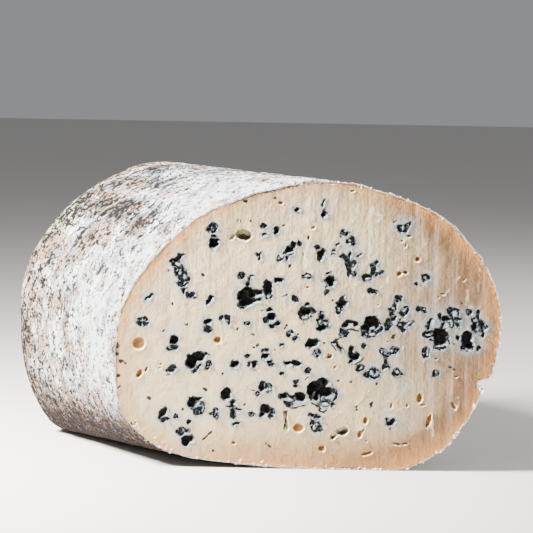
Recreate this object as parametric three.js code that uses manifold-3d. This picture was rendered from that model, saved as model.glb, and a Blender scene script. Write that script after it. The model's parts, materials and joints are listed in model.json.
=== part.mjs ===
// A cut piece of a drum-shaped blue cheese, lying on its side.
// Millimetres, +Z up. The origin is the middle of the box's floor. The cut face is the plane that looks along -Y.
import * as THREE from 'three';
import { mergeVertices } from 'three/addons/utils/BufferGeometryUtils.js';
import Module from 'manifold-3d';

// ---- driving dimensions ----

const CUT_ANGLE = THREE.MathUtils.degToRad(30); // how far the cut is off square to the drum's axis
const END_FACE_AT = 136.5; // the old end face, measured along the axis from the middle of the cut
const RIM_RADIUS = 11; // rounding between the side and the end face
const END_DISH = 1.6; // how far the end face sinks towards its middle
const RIND_WAVE = 0.25; // height of the slow waves on the rind
const WAVE_FADE = 26; // the waves grow from nothing over this height above the resting face
const CUT_MIDDLE_HEIGHT = 60; // the drum's axis lies this high above the resting face
const PIT_SINK = 0.35; // a cavity's centre lies this share of its depth behind the cut

// The cut face's outline in its own plane, x across and z up, from the left side round by the foot.
const CUT_OUTLINE = [
  [-79, 59.6], [-79, 41.5], [-77.2, 22], [-60, 7.2], [-38, 2.8], [-18.3, 0.8],
  [-2, 0], [18, 0], [38.5, 0], [57.5, 10.3], [67.2, 25.6], [75.6, 41.7],
  [78.8, 59.3], [75.8, 77.2], [66.6, 92.6], [52.5, 106.2], [36, 112.7], [17.6, 118.3],
  [0, 119.2], [-17.7, 114.8], [-33.5, 110.1], [-49.3, 101.8], [-61, 89.9], [-72.4, 76.5],
];

// The drum's outline near its end face, square to the axis, with a point for each point above.
const END_OUTLINE = [
  [-72.2, 64], [-72, 46], [-68.8, 24], [-54, 1.4], [-38, 0], [-18, 0],
  [-4, 0], [12, 0], [30, 0], [49, 10], [61, 26], [67, 43],
  [69, 60], [66.5, 76.5], [59, 92], [46, 105], [29, 114.5], [8, 119.3],
  [-12, 120.4], [-27.5, 114.6], [-40, 108.2], [-51.2, 100.4], [-59.4, 91], [-67.2, 80.4],
];

// The largest cavities that the cut opens: x, z, half width, half height.
const CAVITIES = [
  [-27.3, 72.3, 3.4, 5.2], [-22.4, 74.2, 3, 2], [-18.1, 75.6, 2.2, 3.6],
  [4.7, 34.4, 4.8, 4.4], [-3.2, 30.2, 3.6, 2.2], [-9, 29.6, 3.2, 2],
  [24.4, 60.4, 4, 3.8], [53.1, 57.8, 3.4, 2.4], [63.6, 55.7, 2.4, 3.4],
  [-47.8, 44.6, 4.2, 3.4], [-46.8, 27.3, 3.2, 2.8], [-34.2, 31.5, 2.8, 2.6],
  [-56.2, 53, 2, 2.9], [-2.1, 65.7, 3.2, 2.7], [4.7, 60.9, 2, 3.4],
  [-16.3, 63, 2.5, 3], [7.7, 78.8, 2, 2.9], [17.3, 47.3, 2.3, 3.3],
  [-9.5, 91.4, 2.8, 2.8], [-70.4, 51.5, 2.7, 2.7], [-4.4, 17.6, 2.5, 2],
  [14.2, 16.2, 3, 1.8], [-60.4, 22.6, 2.2, 2.6], [-27.9, 97.2, 3.1, 2.2],
];

// A nick in the rind at the cut's right-hand edge.
const NICK = { x: 73.6, z: 36.2, width: 5.6, depth: 9, turn: 0.42 };

// ---- how finely the surface is divided ----

const AROUND = 96;
const ALONG = 14;
const RIM_STEPS = 5;
const END_RINGS = 5;

// ---- the drum's directions ----

const AXIS = new THREE.Vector3(-Math.sin(CUT_ANGLE), Math.cos(CUT_ANGLE), 0);
const ACROSS = new THREE.Vector3(Math.cos(CUT_ANGLE), Math.sin(CUT_ANGLE), 0);

// A smooth closed outline through hand-set points; nothing dips below the resting face.
function closedOutline(points, count) {
  const controls = points.map(([x, z]) => new THREE.Vector3(x, 0, z));
  const curve = new THREE.CatmullRomCurve3(controls, true, 'centripetal');
  const outline = [];
  for (let i = 0; i < count; i += 1) {
    const point = curve.getPoint(i / count);
    outline.push(new THREE.Vector2(point.x, Math.max(point.z, 0)));
  }
  return outline;
}

// The outline moved inwards by a distance, as a rounded rim does.
function insetOutline(outline, distance) {
  return outline.map((point, i) => {
    const before = outline[(i + outline.length - 1) % outline.length];
    const after = outline[(i + 1) % outline.length];
    const along = after.clone().sub(before).normalize();
    return new THREE.Vector2(point.x - along.y * distance, point.y + along.x * distance);
  });
}

// Slow swellings of the soft rind: nothing at the cut, the rim and the resting face.
function wave(turn, share, height) {
  const around = Math.sin(3 * turn + 1.1) + 0.6 * Math.sin(5 * turn + 7 * share + 0.4);
  const along = Math.sin(Math.PI * share);
  const fade = THREE.MathUtils.smoothstep(height, 0, WAVE_FADE);
  return RIND_WAVE * around * along * fade;
}

// A point of the drum from its place across the axis, its height and its place along the axis.
function drumPoint(across, height, along) {
  return new THREE.Vector3(0, 0, height).addScaledVector(ACROSS, across).addScaledVector(AXIS, along);
}

// One ring of points on the side, from the cut (share 0) to the start of the rim (share 1).
function sideRing(cut, end, share) {
  const shoulder = END_FACE_AT - RIM_RADIUS;
  return cut.map((point, i) => {
    const near = new THREE.Vector3(point.x, 0, point.y);
    const far = drumPoint(end[i].x, end[i].y, shoulder);
    const place = near.lerp(far, share);
    const turn = (2 * Math.PI * i) / cut.length;
    const outward = drumPoint(end[i].x, end[i].y - CUT_MIDDLE_HEIGHT, 0).normalize();
    return place.addScaledVector(outward, wave(turn, share, place.z));
  });
}

// The rounded rim: quarter-circle steps from the side to the end face.
function rimRing(end, step) {
  const angle = (Math.PI / 2) * (step / RIM_STEPS);
  const inset = RIM_RADIUS * (1 - Math.cos(angle));
  const along = END_FACE_AT - RIM_RADIUS + RIM_RADIUS * Math.sin(angle);
  return insetOutline(end, inset).map((point) => drumPoint(point.x, point.y, along));
}

// The end face: rings that close in on its middle and sink a little.
function endRing(end, step) {
  const outline = insetOutline(end, RIM_RADIUS);
  const share = 1 - step / END_RINGS;
  const sink = END_DISH * (1 - share * share);
  return outline.map((point) => drumPoint(
    point.x * share,
    CUT_MIDDLE_HEIGHT + (point.y - CUT_MIDDLE_HEIGHT) * share,
    END_FACE_AT - sink,
  ));
}

// The whole drum from the cut to the old end face, as one closed surface.
function drumGeometry() {
  const cut = closedOutline(CUT_OUTLINE, AROUND);
  const end = closedOutline(END_OUTLINE, AROUND);
  const rings = [];
  for (let i = 0; i <= ALONG; i += 1) {
    rings.push(sideRing(cut, end, i / ALONG));
  }
  for (let i = 1; i <= RIM_STEPS; i += 1) {
    rings.push(rimRing(end, i));
  }
  for (let i = 1; i < END_RINGS; i += 1) {
    rings.push(endRing(end, i));
  }
  const positions = [];
  rings.forEach((ring) => ring.forEach((point) => positions.push(point.x, point.y, point.z)));
  const cutMiddle = positions.length / 3;
  positions.push(0, 0, CUT_MIDDLE_HEIGHT);
  const endMiddle = cutMiddle + 1;
  const middle = drumPoint(0, CUT_MIDDLE_HEIGHT, END_FACE_AT - END_DISH);
  positions.push(middle.x, middle.y, middle.z);

  const index = [];
  const last = (rings.length - 1) * AROUND;
  for (let i = 0; i < AROUND; i += 1) {
    const next = (i + 1) % AROUND;
    for (let ring = 0; ring < rings.length - 1; ring += 1) {
      const here = ring * AROUND;
      const there = here + AROUND;
      index.push(here + i, there + next, here + next);
      index.push(here + i, there + i, there + next);
    }
    index.push(cutMiddle, i, next);
    index.push(endMiddle, last + next, last + i);
  }
  const geometry = new THREE.BufferGeometry();
  geometry.setAttribute('position', new THREE.Float32BufferAttribute(positions, 3));
  geometry.setIndex(index);
  return geometry;
}

// ---- cutting ----

const wasm = await Module();
wasm.setup();

function toSolid(geometry) {
  const bare = geometry.clone();
  bare.deleteAttribute('normal');
  bare.deleteAttribute('uv');
  const merged = mergeVertices(bare, 1e-4);
  return new wasm.Manifold(new wasm.Mesh({
    numProp: 3,
    vertProperties: new Float32Array(merged.attributes.position.array),
    triVerts: new Uint32Array(merged.index.array),
  }));
}

function toGeometry(solid) {
  const mesh = solid.getMesh();
  const geometry = new THREE.BufferGeometry();
  geometry.setAttribute('position', new THREE.Float32BufferAttribute(mesh.vertProperties, 3));
  geometry.setIndex(Array.from(mesh.triVerts));
  geometry.computeVertexNormals();
  return geometry;
}

// A lump that leaves a rounded hollow in the cut face.
function cavityTool([x, z, halfWidth, halfHeight]) {
  const depth = 1.1 * Math.min(halfWidth, halfHeight);
  const lump = new THREE.IcosahedronGeometry(1, 1);
  lump.scale(halfWidth, depth, halfHeight);
  lump.rotateY(0.15 * x);
  lump.translate(x, PIT_SINK * depth, z);
  return toSolid(lump);
}

// A wedge that takes the nick out of the rind.
function nickTool() {
  const wedge = new THREE.CylinderGeometry(NICK.width / 2, NICK.width / 2, NICK.depth, 3);
  wedge.rotateY(-NICK.turn);
  wedge.rotateX(Math.PI / 2);
  wedge.translate(NICK.x, 0, NICK.z);
  return toSolid(wedge);
}

function cheeseGeometry() {
  const drum = toSolid(drumGeometry());
  const cuts = CAVITIES.map(cavityTool).concat(nickTool());
  return toGeometry(cuts.reduce((solid, tool) => solid.subtract(tool), drum));
}

// ---- the part ----

const cheese = new THREE.Mesh(
  cheeseGeometry(),
  new THREE.MeshStandardMaterial({ color: 0xe4d8c8, roughness: 0.6, metalness: 0 }),
);
cheese.name = 'cheese';
cheese.geometry.computeBoundingBox();
const box = cheese.geometry.boundingBox;
cheese.position.set(-(box.min.x + box.max.x) / 2, -(box.min.y + box.max.y) / 2, -box.min.z);

const piece = new THREE.Group();
piece.add(cheese);

export default piece;
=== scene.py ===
"""A cut piece of a drum-shaped blue cheese: its bloomy rind, its mouldy cut face and a plain stage."""

import json
import math
from contextlib import contextmanager

import bpy
import numpy as np
from bpy.props import FloatProperty, FloatVectorProperty, PointerProperty
from bpy.types import Operator, Panel, PropertyGroup
from mathutils.geometry import convex_hull_2d
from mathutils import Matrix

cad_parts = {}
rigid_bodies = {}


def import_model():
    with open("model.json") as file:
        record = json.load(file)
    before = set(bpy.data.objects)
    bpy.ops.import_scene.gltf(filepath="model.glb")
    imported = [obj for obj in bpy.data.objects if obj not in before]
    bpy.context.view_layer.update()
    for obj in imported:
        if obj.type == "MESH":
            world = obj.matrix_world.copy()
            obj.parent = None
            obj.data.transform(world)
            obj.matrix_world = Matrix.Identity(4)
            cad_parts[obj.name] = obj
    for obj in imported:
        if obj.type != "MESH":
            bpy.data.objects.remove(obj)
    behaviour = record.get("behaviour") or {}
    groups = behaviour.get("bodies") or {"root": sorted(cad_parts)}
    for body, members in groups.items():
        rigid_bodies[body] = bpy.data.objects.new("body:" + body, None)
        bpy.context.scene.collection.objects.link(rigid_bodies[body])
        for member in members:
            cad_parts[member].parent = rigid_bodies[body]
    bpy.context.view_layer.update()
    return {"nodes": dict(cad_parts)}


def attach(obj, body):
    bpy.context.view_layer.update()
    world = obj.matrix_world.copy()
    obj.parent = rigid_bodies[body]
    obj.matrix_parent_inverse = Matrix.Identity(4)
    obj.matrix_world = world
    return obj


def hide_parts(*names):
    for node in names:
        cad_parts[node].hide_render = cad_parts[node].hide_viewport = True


bl_info = {
    "name": "Cut Piece of Blue Cheese",
    "version": (1, 0, 0),
    "blender": (4, 5, 0),
    "location": "View3D > Sidebar > Cheese",
    "description": "Models a cut drum of blue cheese with its rind, mould and crumbs, and a plain stage",
    "category": "Object",
}

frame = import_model()

CHEESE = "cheese"
METRE = 1000.0  # the cheese's places and sizes are in millimetres here, and Blender's are in metres

# ---- places on the cut face ----

# Where the origin of the rows below lies: across and up from the middle of the face's foot.
DATUM = (0.75, -0.5)

# The rows of ovals hold millimetres across and up from there, half width, half height, and tilt in degrees,
# turned from the right towards the top. A row without a tilt is upright.

# Open holes that the mould has blackened.
HOLLOWS = [
    (-56, 86.3, 2.3, 1, 15), (-54, 88, 1.2, 0.8, 40), (-52.4, 73.7, 0.7, 1.6), (-50.8, 72.4, 1, 0.6, -40),
    (-40.3, 94, 2.1, 2.8), (-66.7, 71, 2.3, 0.7, 40), (-41.6, 70.2, 2.2, 1.2, 60), (-42.3, 61.3, 1.6, 1.5),
    (-56, 53.3, 1.9, 2.1), (-49, 44.4, 2.6, 2.7), (-46, 46.6, 2.6, 2.2), (-50, 46.3, 0.9, 0.9),
    (-43, 47.8, 1.2, 0.5), (-60.5, 23, 2.9, 1.3, 55), (-48.6, 27.8, 1.7, 2.4), (-46.3, 29.3, 1.9, 0.9),
    (-51, 11.3, 2, 2.3), (-48.8, 12.5, 1.4, 1.2, 45), (-19.6, 97.2, 0.9, 0.7), (-14.8, 99.3, 1.3, 1.8),
    (-6.4, 108, 0.8, 0.9), (-7.9, 93.5, 0.9, 1.5), (-9.3, 91.7, 1.8, 1.5), (-11.5, 90, 1, 0.7),
    (-10.3, 87.8, 0.9, 0.7), (-21.3, 88.7, 0.6, 1.6), (-26.6, 71.9, 3.6, 4.2), (-26.5, 77, 1, 1),
    (-24.6, 80.2, 0.9, 0.8), (-25.5, 78.8, 0.5, 0.8), (-22.5, 73.5, 2.5, 1.5), (-18, 75.5, 1.9, 3.5),
    (-22.8, 70, 2, 0.7, 15), (-13.5, 78.7, 1.9, 1.2), (-2.2, 65.8, 2.6, 1.9), (-1.8, 69, 1.3, 0.6),
    (-17.3, 66.3, 1.3, 0.8), (-16.6, 63.3, 1.8, 1.8), (-13.7, 60.8, 1, 1.3), (-12.2, 52, 0.9, 0.5),
    (0.3, 52.8, 2.2, 1.9), (2, 53, 1.3, 1.9, -30), (-18.6, 47, 1.5, 1.3), (-16.6, 45.2, 0.9, 0.8),
    (-31, 43.7, 1.9, 1.5), (-22.8, 43.6, 1.1, 1.5), (-25, 43.8, 0.8, 1), (-9.2, 44.8, 1.8, 0.8),
    (-5.7, 44.5, 2, 1.2), (-34.2, 31.3, 2.2, 2.6), (-31.5, 28, 1, 1.3), (-31.8, 26.2, 1.2, 0.9),
    (-31, 24, 1, 1.6), (-29.3, 25, 1.2, 0.5), (-30.2, 19.2, 1.6, 0.6, 8), (-19.3, 34.8, 1.3, 2),
    (-10.8, 30.8, 2, 1.3), (-7.5, 30.7, 1.3, 0.9), (-3.8, 30.6, 2.4, 2), (5.3, 36.8, 2.8, 2.1),
    (2.6, 34, 3.8, 3.4), (6.4, 33, 3.2, 2.4), (3, 31, 2.6, 2), (9.2, 33.3, 0.9, 0.9), (9.5, 27.6, 0.9, 0.9),
    (-18.3, 25.3, 2, 2), (-19.7, 22.7, 1.2, 1), (4.1, 110.9, 0.45, 1.3, -10), (4.6, 106.1, 1.2, 1.4),
    (4.2, 107.4, 0.5, 0.7), (2, 92.6, 1.1, 1), (3.7, 90.3, 1.5, 2), (3.4, 88, 1, 1),
    (10.3, 93.8, 0.8, 0.4, 45), (8.6, 91.4, 0.8, 0.5, 25), (8.8, 90.2, 0.8, 0.4, 20), (7.6, 79, 1.9, 2.1),
    (8, 77.2, 1.4, 1), (5.6, 79, 0.9, 0.4), (5.9, 76.2, 0.4, 0.4), (6.4, 82.2, 0.9, 0.4, 35),
    (12.6, 69.6, 2.3, 1.5), (12.5, 71, 1, 1.2), (12.9, 72.4, 0.4, 0.7), (22.8, 80.5, 1, 0.5),
    (4.3, 64, 1.3, 0.9), (4.1, 65.6, 0.4, 0.6), (4.6, 59.4, 2.1, 1.7), (6, 62.3, 0.9, 0.5, -30),
    (14.3, 61, 1.5, 1), (16, 61.8, 1.8, 0.9), (18.3, 61, 1.3, 1.1, -40), (9.4, 53.4, 1, 0.5),
    (11.9, 51.8, 2.4, 0.6, -58), (24.8, 62.4, 2.8, 2.3), (27, 61.4, 1.3, 2.1), (22.5, 60, 2, 1.4),
    (23.6, 58.6, 1.2, 1), (16.6, 49.5, 1.1, 2.3), (18.5, 47.7, 2, 1.6), (17, 45.4, 1.2, 1),
    (16.8, 51.3, 0.5, 0.7), (32.1, 21.6, 0.6, 0.8), (34.6, 21, 1, 1.3), (33.5, 20.3, 1.3, 1),
    (43.1, 78.2, 0.7, 0.4), (52.9, 58.2, 2.6, 2.1), (54.8, 57.3, 2, 1.5), (53.8, 55, 2.8, 1.8),
    (52.2, 56.5, 1.6, 1.5), (50.5, 57, 0.9, 0.5), (54.2, 61, 0.7, 1.2), (55.3, 63.9, 2.1, 1.1),
    (52.9, 65, 0.7, 1.4), (48.3, 58.3, 1.3, 0.5), (64.4, 56.6, 2.3, 2.6), (64.8, 53.8, 2.2, 2.2),
    (60.7, 56.2, 0.6, 1), (67, 61, 1.2, 1.6), (70.4, 60.7, 1, 2.5), (69.8, 63.1, 0.8, 0.5),
    (70.7, 57.7, 0.7, 1),
]

# Shallow pockets filled with felted mould, blue-black with pale centres.
POCKETS = [
    (-55, 84.3, 2.4, 1.6, -30), (-53.8, 81.5, 2.6, 2), (-52.3, 78.8, 2.2, 2.6), (-53.2, 76.8, 1.6, 1.3),
    (-49.5, 72, 1.6, 0.9, 30), (-41, 99.8, 2.1, 1.7), (-69, 60.7, 2, 1.9), (-42.3, 58, 1.2, 1.3),
    (-56.8, 50, 2.2, 0.9, 10), (-46.8, 42, 2.2, 0.8, 45), (-42, 43.3, 1.7, 0.9, 75), (-57, 41.3, 2, 1, 25),
    (-59.8, 20.3, 1.8, 1), (-55, 21.7, 0.9, 0.8), (-49.5, 19.6, 0.9, 0.6, 30), (-45.8, 25.3, 2.6, 2.8),
    (-52, 15.2, 2.6, 1.8), (-20, 101.2, 0.9, 0.8), (-9.3, 89.8, 1.3, 0.8), (-13, 88, 1, 1),
    (-5.2, 94, 0.8, 0.9), (-22.5, 89.2, 0.8, 0.4), (-28.9, 80.5, 1.5, 1.2), (-28, 68.2, 2, 1),
    (-17.6, 72.2, 1.2, 1.4), (-1.9, 80.7, 1.8, 1.1), (-6.5, 71, 1.3, 1.1), (-2.2, 65.3, 3, 3),
    (-18.3, 62.3, 1.2, 1), (-16, 59.6, 1.2, 0.6), (-36.6, 62.7, 0.8, 0.9), (-34, 62.9, 0.9, 1.2),
    (-33.6, 60.8, 0.3, 0.8), (-26.2, 60.6, 1.2, 0.8), (-8.5, 57, 1.2, 0.7, 30), (-6.5, 55.2, 1, 0.6),
    (-25.7, 47.5, 0.9, 0.6), (-18.7, 49.4, 1.2, 0.7), (-16.1, 43.7, 1.1, 0.6), (-11.5, 40.3, 0.8, 0.4),
    (-1, 41.8, 0.8, 1), (-40, 23, 1, 0.4), (-38.3, 24.2, 0.8, 1.2), (-38.3, 22, 0.9, 0.9),
    (-31.5, 22.5, 1.1, 1.1), (-23.6, 23.3, 1, 0.8), (-16.8, 34, 1.8, 1.5), (-21, 31.8, 0.6, 0.8),
    (-5.6, 36.9, 1.2, 0.6), (-5.7, 35.1, 1, 0.4), (-8.5, 28.8, 2.2, 1.8), (-15.8, 24, 1.3, 2),
    (13, 98.8, 1.6, 0.9, 10), (14.6, 95.4, 0.7, 0.5, 40), (16, 96.3, 0.6, 0.7), (16.8, 94.9, 1.2, 0.5, -35),
    (12.9, 89.1, 1, 0.6), (15.5, 90, 0.4, 0.8), (14.8, 87.8, 0.9, 1), (14.9, 86, 0.7, 1.5),
    (15.2, 84.5, 0.7, 1.2), (15.4, 82.4, 0.9, 1.2), (17.2, 86.4, 0.9, 0.8, 30), (16.3, 85.1, 0.7, 0.9),
    (17.7, 81.9, 0.8, 0.8), (19.3, 89.7, 0.8, 0.3, 30), (24.9, 85.3, 0.8, 1), (26.3, 86.4, 0.6, 0.5, 30),
    (25.3, 83.7, 1.2, 0.7), (25.9, 82.3, 1.5, 0.5), (28.5, 82.7, 0.6, 1, -30), (27.2, 81.9, 1, 0.4),
    (36, 101, 1.2, 1.2), (38.2, 101.2, 1.2, 1.2), (39.2, 102.8, 1, 0.4, 50), (38, 99.5, 0.6, 0.5),
    (6, 74.5, 0.7, 0.6), (11.3, 66.7, 0.5, 1.3), (12, 68, 1.4, 1), (22.7, 80.4, 1.7, 1.1),
    (24.3, 75.5, 1, 0.8), (25.9, 74.9, 1.3, 0.4, -20), (0.9, 66.4, 1.2, 0.6, -20), (4.3, 62, 1.7, 1.6),
    (6.6, 60.5, 0.8, 1.5), (13.2, 58.2, 0.9, 1.2), (14.1, 57, 0.9, 1.3), (12.6, 56.4, 0.8, 0.5),
    (24.5, 57.4, 3.4, 1.6, 10), (28.6, 60.3, 0.8, 1.8), (35.9, 72.3, 1.4, 1.2), (34.9, 70.8, 0.5, 0.6),
    (34.2, 69.2, 0.9, 0.6, 60), (33.5, 67.4, 1.3, 1), (33.7, 65.6, 0.7, 0.9), (33.8, 64.2, 0.8, 1.1),
    (32, 61.5, 1.1, 1.3), (31.8, 62.8, 0.5, 0.7), (31.7, 60, 0.8, 0.9), (38.3, 66.9, 2.3, 1.3, 55),
    (37.8, 61.8, 1.6, 0.6), (37, 60.4, 1.4, 0.9), (38, 59.2, 0.8, 0.8), (40.6, 61.8, 1.9, 0.7, 35),
    (2.7, 49, 1.3, 1.2), (22, 52.1, 0.9, 0.6, 50), (20.6, 43, 1.4, 1.2), (26, 42, 1.2, 1.2),
    (24, 40.4, 1.3, 0.9), (26, 39.7, 2.6, 0.9), (28.1, 41, 0.9, 1.2), (29.6, 50, 0.7, 1.1),
    (30.5, 48.8, 1.2, 0.5, -50), (32.2, 48.7, 1, 0.5, 40), (34.4, 50.4, 1.6, 1.2),
    (31.1, 46.6, 0.4, 1.5, 10), (31.2, 44.3, 0.8, 1), (30.5, 43.4, 0.8, 0.4, 30), (32, 43.5, 0.8, 0.5),
    (35.8, 41.2, 1.5, 1.6), (37.5, 40.9, 1.1, 0.5, -20), (3, 21.8, 2, 1.4), (2.2, 19.5, 1.4, 2),
    (3.7, 18, 1.5, 1.6), (1, 22.8, 1, 0.4, -20), (1.5, 30.8, 1.4, 1.6), (6.3, 28.7, 3, 1.8),
    (10, 31.5, 1.1, 2.2), (46.9, 80.8, 1.5, 1.2), (44.9, 68, 1.8, 0.8), (47, 66.8, 0.5, 0.3),
    (59, 66, 1.6, 1.8), (56, 61.2, 1.6, 1.5), (59.6, 64.2, 1.9, 0.5), (60.1, 61.9, 0.9, 0.4, -45),
    (58, 61.6, 0.8, 1.4), (57, 67.3, 0.6, 1.4), (49.2, 63.2, 0.9, 0.4, 60), (48.2, 61, 0.6, 1),
    (47.8, 57.2, 1.7, 1.3), (53, 52.4, 2.6, 1), (52.3, 53.3, 0.8, 1), (56.7, 55.3, 0.6, 1.5),
    (64.3, 52.4, 2.4, 1.2), (68.7, 60.9, 2.6, 2.3), (67.3, 63.8, 1.2, 1.1), (65, 67.3, 0.8, 1.1),
    (68.3, 66.3, 0.5, 1.3), (72.1, 60.9, 0.6, 0.4, 45), (69, 52, 0.5, 0.6), (47.5, 49.7, 1.5, 2.1),
    (51.9, 41.5, 1.5, 1.4),
]

# Clean eyes in the paste, golden inside.
EYES = [
    (-70.5, 51.7, 2.7, 2.7), (-61.4, 43.3, 0.6, 0.5), (-61.8, 41.6, 0.6, 0.35), (-67.3, 41, 1.2, 0.7, 60),
    (-70.3, 39.2, 2, 1.1, 60), (0.1, 100.5, 0.9, 0.5, 30), (-1.7, 96.4, 0.7, 1.2), (-1.7, 76.2, 0.6, 0.5),
    (-38.2, 53.6, 1.6, 1.5), (-4.4, 17.7, 2.4, 1.9), (-31, 11, 1, 0.65), (5.5, 9.2, 1.5, 1.3),
    (23.2, 21.2, 1, 1.6), (21, 15.3, 1, 1.6), (22.3, 16.9, 1, 0.4, 60), (24, 12.8, 0.5, 0.3, -40),
    (24.2, 7.4, 2.4, 0.7, 18), (36.4, 11.6, 1.6, 0.6, -12), (39.8, 11.9, 1.1, 0.5), (33.8, 27.5, 0.5, 1.2),
    (40.3, 27.9, 0.5, 0.8), (10.3, 43.3, 0.9, 0.5, 40), (27.7, 69.2, 0.4, 0.4), (37.5, 51.8, 0.3, 0.3),
    (33.5, 103.7, 0.8, 0.3, 30), (39.4, 97.9, 1, 0.6), (36.9, 95.8, 0.5, 0.5), (38.3, 94, 0.4, 0.9),
    (43.4, 88.5, 1.1, 1.1), (35.8, 82.3, 1.3, 1, 30), (38.4, 82.8, 1, 0.9), (53.9, 74.2, 0.9, 0.4),
    (52.1, 73, 0.4, 0.5), (62.6, 80.3, 0.5, 0.5), (52, 47.6, 0.5, 0.4), (60.5, 40.2, 0.5, 0.4),
    (45.3, 31, 1.2, 2.1), (47, 28.1, 1, 0.5), (49.3, 21.4, 3.2, 1, 75), (59.4, 28, 1.9, 0.7, -62),
    (16, 116, 1, 0.45), (-13.3, 110.5, 1.2, 0.8), (-72.3, 18.3, 1.4, 0.9), (-69.8, 15.2, 0.6, 0.5),
]

# Clean holes that are deep enough to look brown or olive-black; that darkness is painted shade.
DEEP_EYES = [
    (-28.2, 97.2, 3.4, 2.4, -14), (-32.8, 96.3, 1.7, 0.9, 50), (13.6, 16.7, 2.8, 1.9, 10),
    (10.3, 14.4, 1.7, 0.9, 40), (7.7, 47.9, 1.5, 1.3), (-9.7, 20.8, 4.4, 0.7, 100),
]

# Pale lumps and folds that stand in or beside the holes.
CRESTS = [
    (-40.2, 95.8, 1.4, 0.6), (-39.6, 91.4, 1, 0.5, 30), (-71.2, 69, 0.7, 0.3, 40), (-51.6, 46, 0.4, 1.2),
    (-46.2, 43.4, 1.8, 0.4, 40), (-58.5, 50.6, 0.9, 0.3), (-46.2, 26.6, 1.6, 0.5, 45),
    (-50.6, 14.2, 1.4, 0.4, 20), (-47.6, 11.6, 0.4, 1.2), (-12.4, 88.8, 0.8, 1), (-8.6, 90.2, 1.6, 0.4, 25),
    (-27.7, 75.9, 1.8, 0.4, -8), (-22, 71.8, 3.2, 0.4, 20), (-17.6, 72.2, 0.8, 1),
    (-29.6, 70, 0.9, 0.5, 20), (-13.4, 79.9, 1.4, 0.35), (-2, 68.1, 1.4, 0.35), (-2.2, 63.3, 1.7, 0.5),
    (-16.8, 65.3, 1.3, 0.35), (-14.9, 61.8, 1.1, 0.35, 65), (-7.3, 56.3, 0.7, 0.5),
    (-18.6, 48.6, 0.8, 0.35), (-17.7, 46, 0.4, 0.7), (-30, 43, 1, 0.35, 30), (-24, 42.3, 0.4, 1.4),
    (-7.4, 43.4, 3, 0.35), (-32.6, 29.6, 1.2, 0.4, -50), (-30.2, 20.2, 1.2, 0.3), (-16.5, 33.2, 3, 0.4, 6),
    (-8.6, 29.4, 1.6, 0.8), (-4.3, 28, 2.7, 0.5), (0.9, 92, 0.4, 1), (6.5, 105.2, 0.8, 0.4, 40),
    (9.1, 90.8, 0.8, 0.3, 20), (13.7, 99.5, 0.8, 0.4, 20), (15.3, 95.6, 0.5, 0.4), (16.2, 88.2, 0.4, 0.9),
    (27.4, 83.7, 0.8, 0.9), (37, 101.2, 0.4, 0.9), (7.6, 82.2, 0.6, 0.3, 40), (9.6, 80, 0.4, 0.8, -20),
    (6, 77.6, 1.2, 0.5, -35), (7.9, 75.9, 1.3, 0.3, 5), (15.2, 69, 1.2, 0.35, 60),
    (11.2, 71.6, 1.2, 0.35, 50), (11.4, 67.3, 0.3, 0.9), (23.2, 79.9, 1.1, 0.3, 25),
    (3.9, 62, 0.9, 0.4, 60), (6.2, 61, 0.35, 0.8), (15.8, 59.7, 1.7, 0.4, 5), (18.8, 59.4, 0.5, 0.8),
    (12.4, 55.8, 0.6, 0.5), (10.3, 51.6, 1.9, 0.35, -62), (24.4, 58.6, 1.2, 0.3, 80),
    (27.2, 59.3, 1.2, 0.3, 40), (25.7, 56.8, 1.5, 0.7), (18.2, 50.2, 1.4, 0.4, 110),
    (19.8, 46.2, 2.6, 0.4, 35), (21, 43.1, 1.1, 0.3, 40), (25.4, 41, 0.5, 1), (27.3, 40.6, 1.3, 0.35, 40),
    (33.4, 50.3, 0.8, 0.5), (29.5, 49.8, 0.25, 0.7), (36, 41.5, 0.6, 0.6), (36.5, 61.3, 0.6, 0.4),
    (39.2, 60.8, 1.1, 0.4, 40), (40.7, 62.3, 0.8, 0.5, 40), (38.5, 67.4, 1.3, 0.3, 50),
    (33.7, 67.9, 0.6, 0.3), (2, 50.5, 0.8, 0.5), (6.4, 48.2, 0.7, 0.6), (2.3, 17.8, 0.5, 0.9),
    (4.3, 21.2, 1.5, 0.35, 32), (3.4, 19.4, 0.5, 0.5), (1.3, 21.8, 1.1, 0.4, -30), (4, 29.8, 1.7, 0.4, 88),
    (1.7, 31.7, 0.5, 1.5, -25), (6.9, 30.5, 2.3, 0.45), (9.6, 30.3, 1.7, 0.4, 65), (6.6, 27.6, 1.5, 0.7),
    (2.6, 28.7, 1.6, 0.5, -25), (33.6, 21.7, 0.9, 0.3, 50), (13, 18.1, 1.2, 0.4, 35), (48.3, 57.3, 1, 0.35),
    (54.8, 65.8, 1.1, 0.4), (59.2, 66.1, 1, 1.1), (57.9, 62.4, 1.6, 0.35, 100), (56, 60.9, 1.3, 1.1),
    (50.3, 62.2, 0.9, 1.4), (50.4, 55.5, 0.8, 0.35, -20), (53.4, 52.8, 1.8, 0.35, 10),
    (64.5, 51.2, 1.7, 0.4), (67.3, 54.6, 0.5, 1.9, -8), (68.6, 60.8, 0.5, 1.7), (67.5, 63.5, 0.8, 0.4, 30),
    (48.3, 49.7, 0.35, 1.2), (52, 41.9, 0.3, 0.5), (46.6, 81, 0.4, 0.3), (-54, 81, 0.8, 0.4, 40),
    (-52, 79.5, 0.5, 1, 20), (-54.8, 84.6, 1.2, 0.4, -20), (-35.8, 52.4, 1.1, 0.5, 40),
    (-1.9, 80.7, 1, 0.4),
]

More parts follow.
